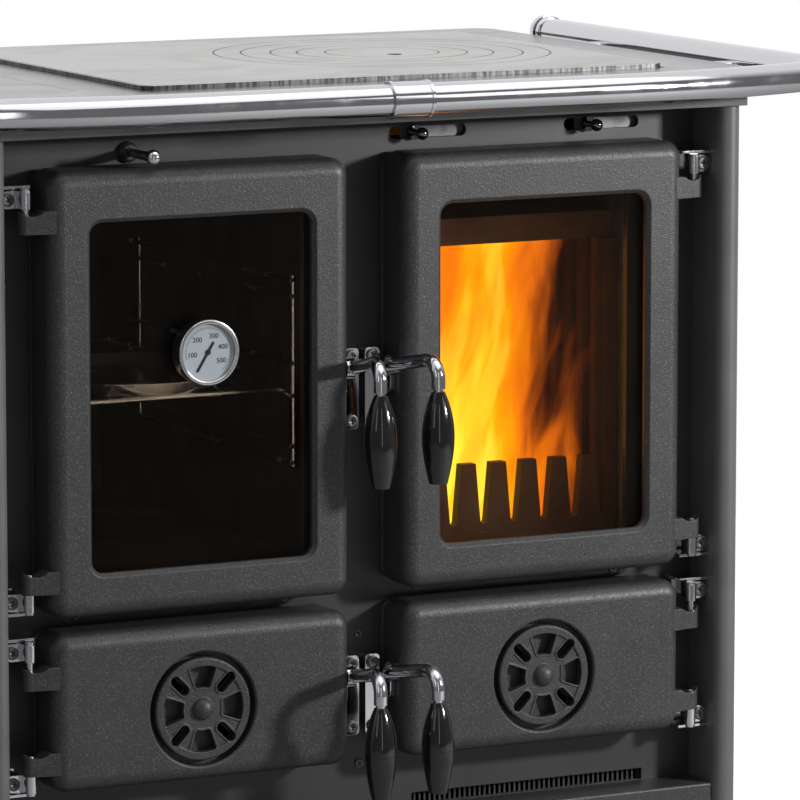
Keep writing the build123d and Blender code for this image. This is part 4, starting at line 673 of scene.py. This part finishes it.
# ---------------------------------------------------------------- thermometer dial
# A thin disc of brushed aluminium with a printed scale: a tick every five degrees of turn, and
# figures in hundreds of degrees.
dial_face, dial_thick, dial_play = -0.2717, 0.0006, 0.0001
tick_pitch, tick_share = 0.0873, 0.28
tick_inner, tick_outer = 0.0196, 0.0216
scale_start, scale_end = -1.85, 2.45
brush_grain = 900.0
dial_dark = (0.27, 0.30, 0.335, 1.0)
dial_pale = (0.35, 0.38, 0.415, 1.0)
tick_black = (0.02, 0.02, 0.022, 1.0)
figure_high, figure_bold, figure_thick = 0.0060, 0.00012, 0.00004
figure_ring, figure_lift = 0.0146, 0.00005
figure_turns = ((100, -97), (200, -42), (300, 22), (400, 74), (500, 122))

bpy.ops.mesh.primitive_cylinder_add(vertices=96, radius=dial_round - dial_play, depth=dial_thick,
                                    location=(gauge_x, dial_face + dial_thick / 2, gauge_z),
                                    rotation=(math.radians(90), 0, 0))
dial = bpy.context.object
dial.name = "thermometer_dial"
settle()
dial_print, tree, sockets = finish("printed_dial", Specular_IOR_Level=0.3, Roughness=0.45)
on_dial = put(tree, "Mapping", {"Vector": put(tree, "TexCoord")["Object"],
                                "Location": (-gauge_x, 0.0, -gauge_z)})[0]
spot = put(tree, "SeparateXYZ", {0: on_dial})
turn = maths(tree, "ARCTAN2", spot["X"], spot["Z"])
in_plane = put(tree, "VectorMath", {0: on_dial, 1: (1, 0, 1)}, operation="MULTIPLY")[0]
reach = put(tree, "VectorMath", {0: in_plane}, operation="LENGTH")["Value"]
beat = maths(tree, "FRACT", maths(tree, "DIVIDE", turn, tick_pitch))
tick = maths(tree, "LESS_THAN", beat, tick_share)
for test, value, limit in (("GREATER_THAN", reach, tick_inner), ("LESS_THAN", reach, tick_outer),
                           ("LESS_THAN", turn, scale_end), ("GREATER_THAN", turn, scale_start)):
    tick = maths(tree, "MULTIPLY", tick, maths(tree, test, value, limit))
brushed = put(tree, "TexNoise", {"Vector": on_dial, "Scale": brush_grain, "Detail": 2.0})[0]
plain = mix_colours(tree, brushed, dial_dark, dial_pale)
feed(tree, sockets, Base_Color=mix_colours(tree, tick, plain, tick_black))
dial.data.materials.append(dial_print)
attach(dial, "oven_door")

ink_black, ink_worn = grey(0.010), grey(0.022)
dial_ink, tree, sockets = finish("dial_ink", Roughness=0.5)
blot = put(tree, "TexNoise", {"Vector": put(tree, "TexCoord")["Object"], "Scale": 2500.0,
                              "Detail": 2.0})[0]
feed(tree, sockets, Base_Color=mix_colours(tree, blot, ink_black, ink_worn))
for degrees_shown, clock in figure_turns:
    bpy.ops.object.text_add(rotation=(math.radians(90), 0, 0))
    figure = bpy.context.object
    figure.data.body = str(degrees_shown)
    figure.data.size = figure_high
    figure.data.offset = figure_bold
    figure.data.align_x = "CENTER"
    figure.data.align_y = "CENTER"
    figure.data.extrude = figure_thick
    figure.data.resolution_u = 3
    bpy.ops.object.convert(target="MESH")
    figure = bpy.context.object
    figure.name = f"dial_figure_{degrees_shown}"
    round_dial = math.radians(clock)
    figure.location = (gauge_x + figure_ring * math.sin(round_dial), dial_face - figure_lift,
                       gauge_z + figure_ring * math.cos(round_dial))
    settle()
    figure.data.materials.append(dial_ink)
    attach(figure, "oven_door")

# ---------------------------------------------------------------- thermometer needle
# The needle is stamped from thin spring steel and blued almost black, and turns on the case's
# spindle.
blued_dark = (0.012, 0.012, 0.016, 1.0)
blued_pale = (0.03, 0.03, 0.036, 1.0)
needle_blue, tree, sockets = finish("blued_needle", Metallic=0.6, Roughness=0.35)
tint = put(tree, "TexNoise", {"Vector": put(tree, "TexCoord")["Object"], "Scale": 400.0,
                              "Detail": 2.0})[0]
feed(tree, sockets, Base_Color=mix_colours(tree, tint, blued_dark, blued_pale))
dress(needle_blue, "thermometer_needle")
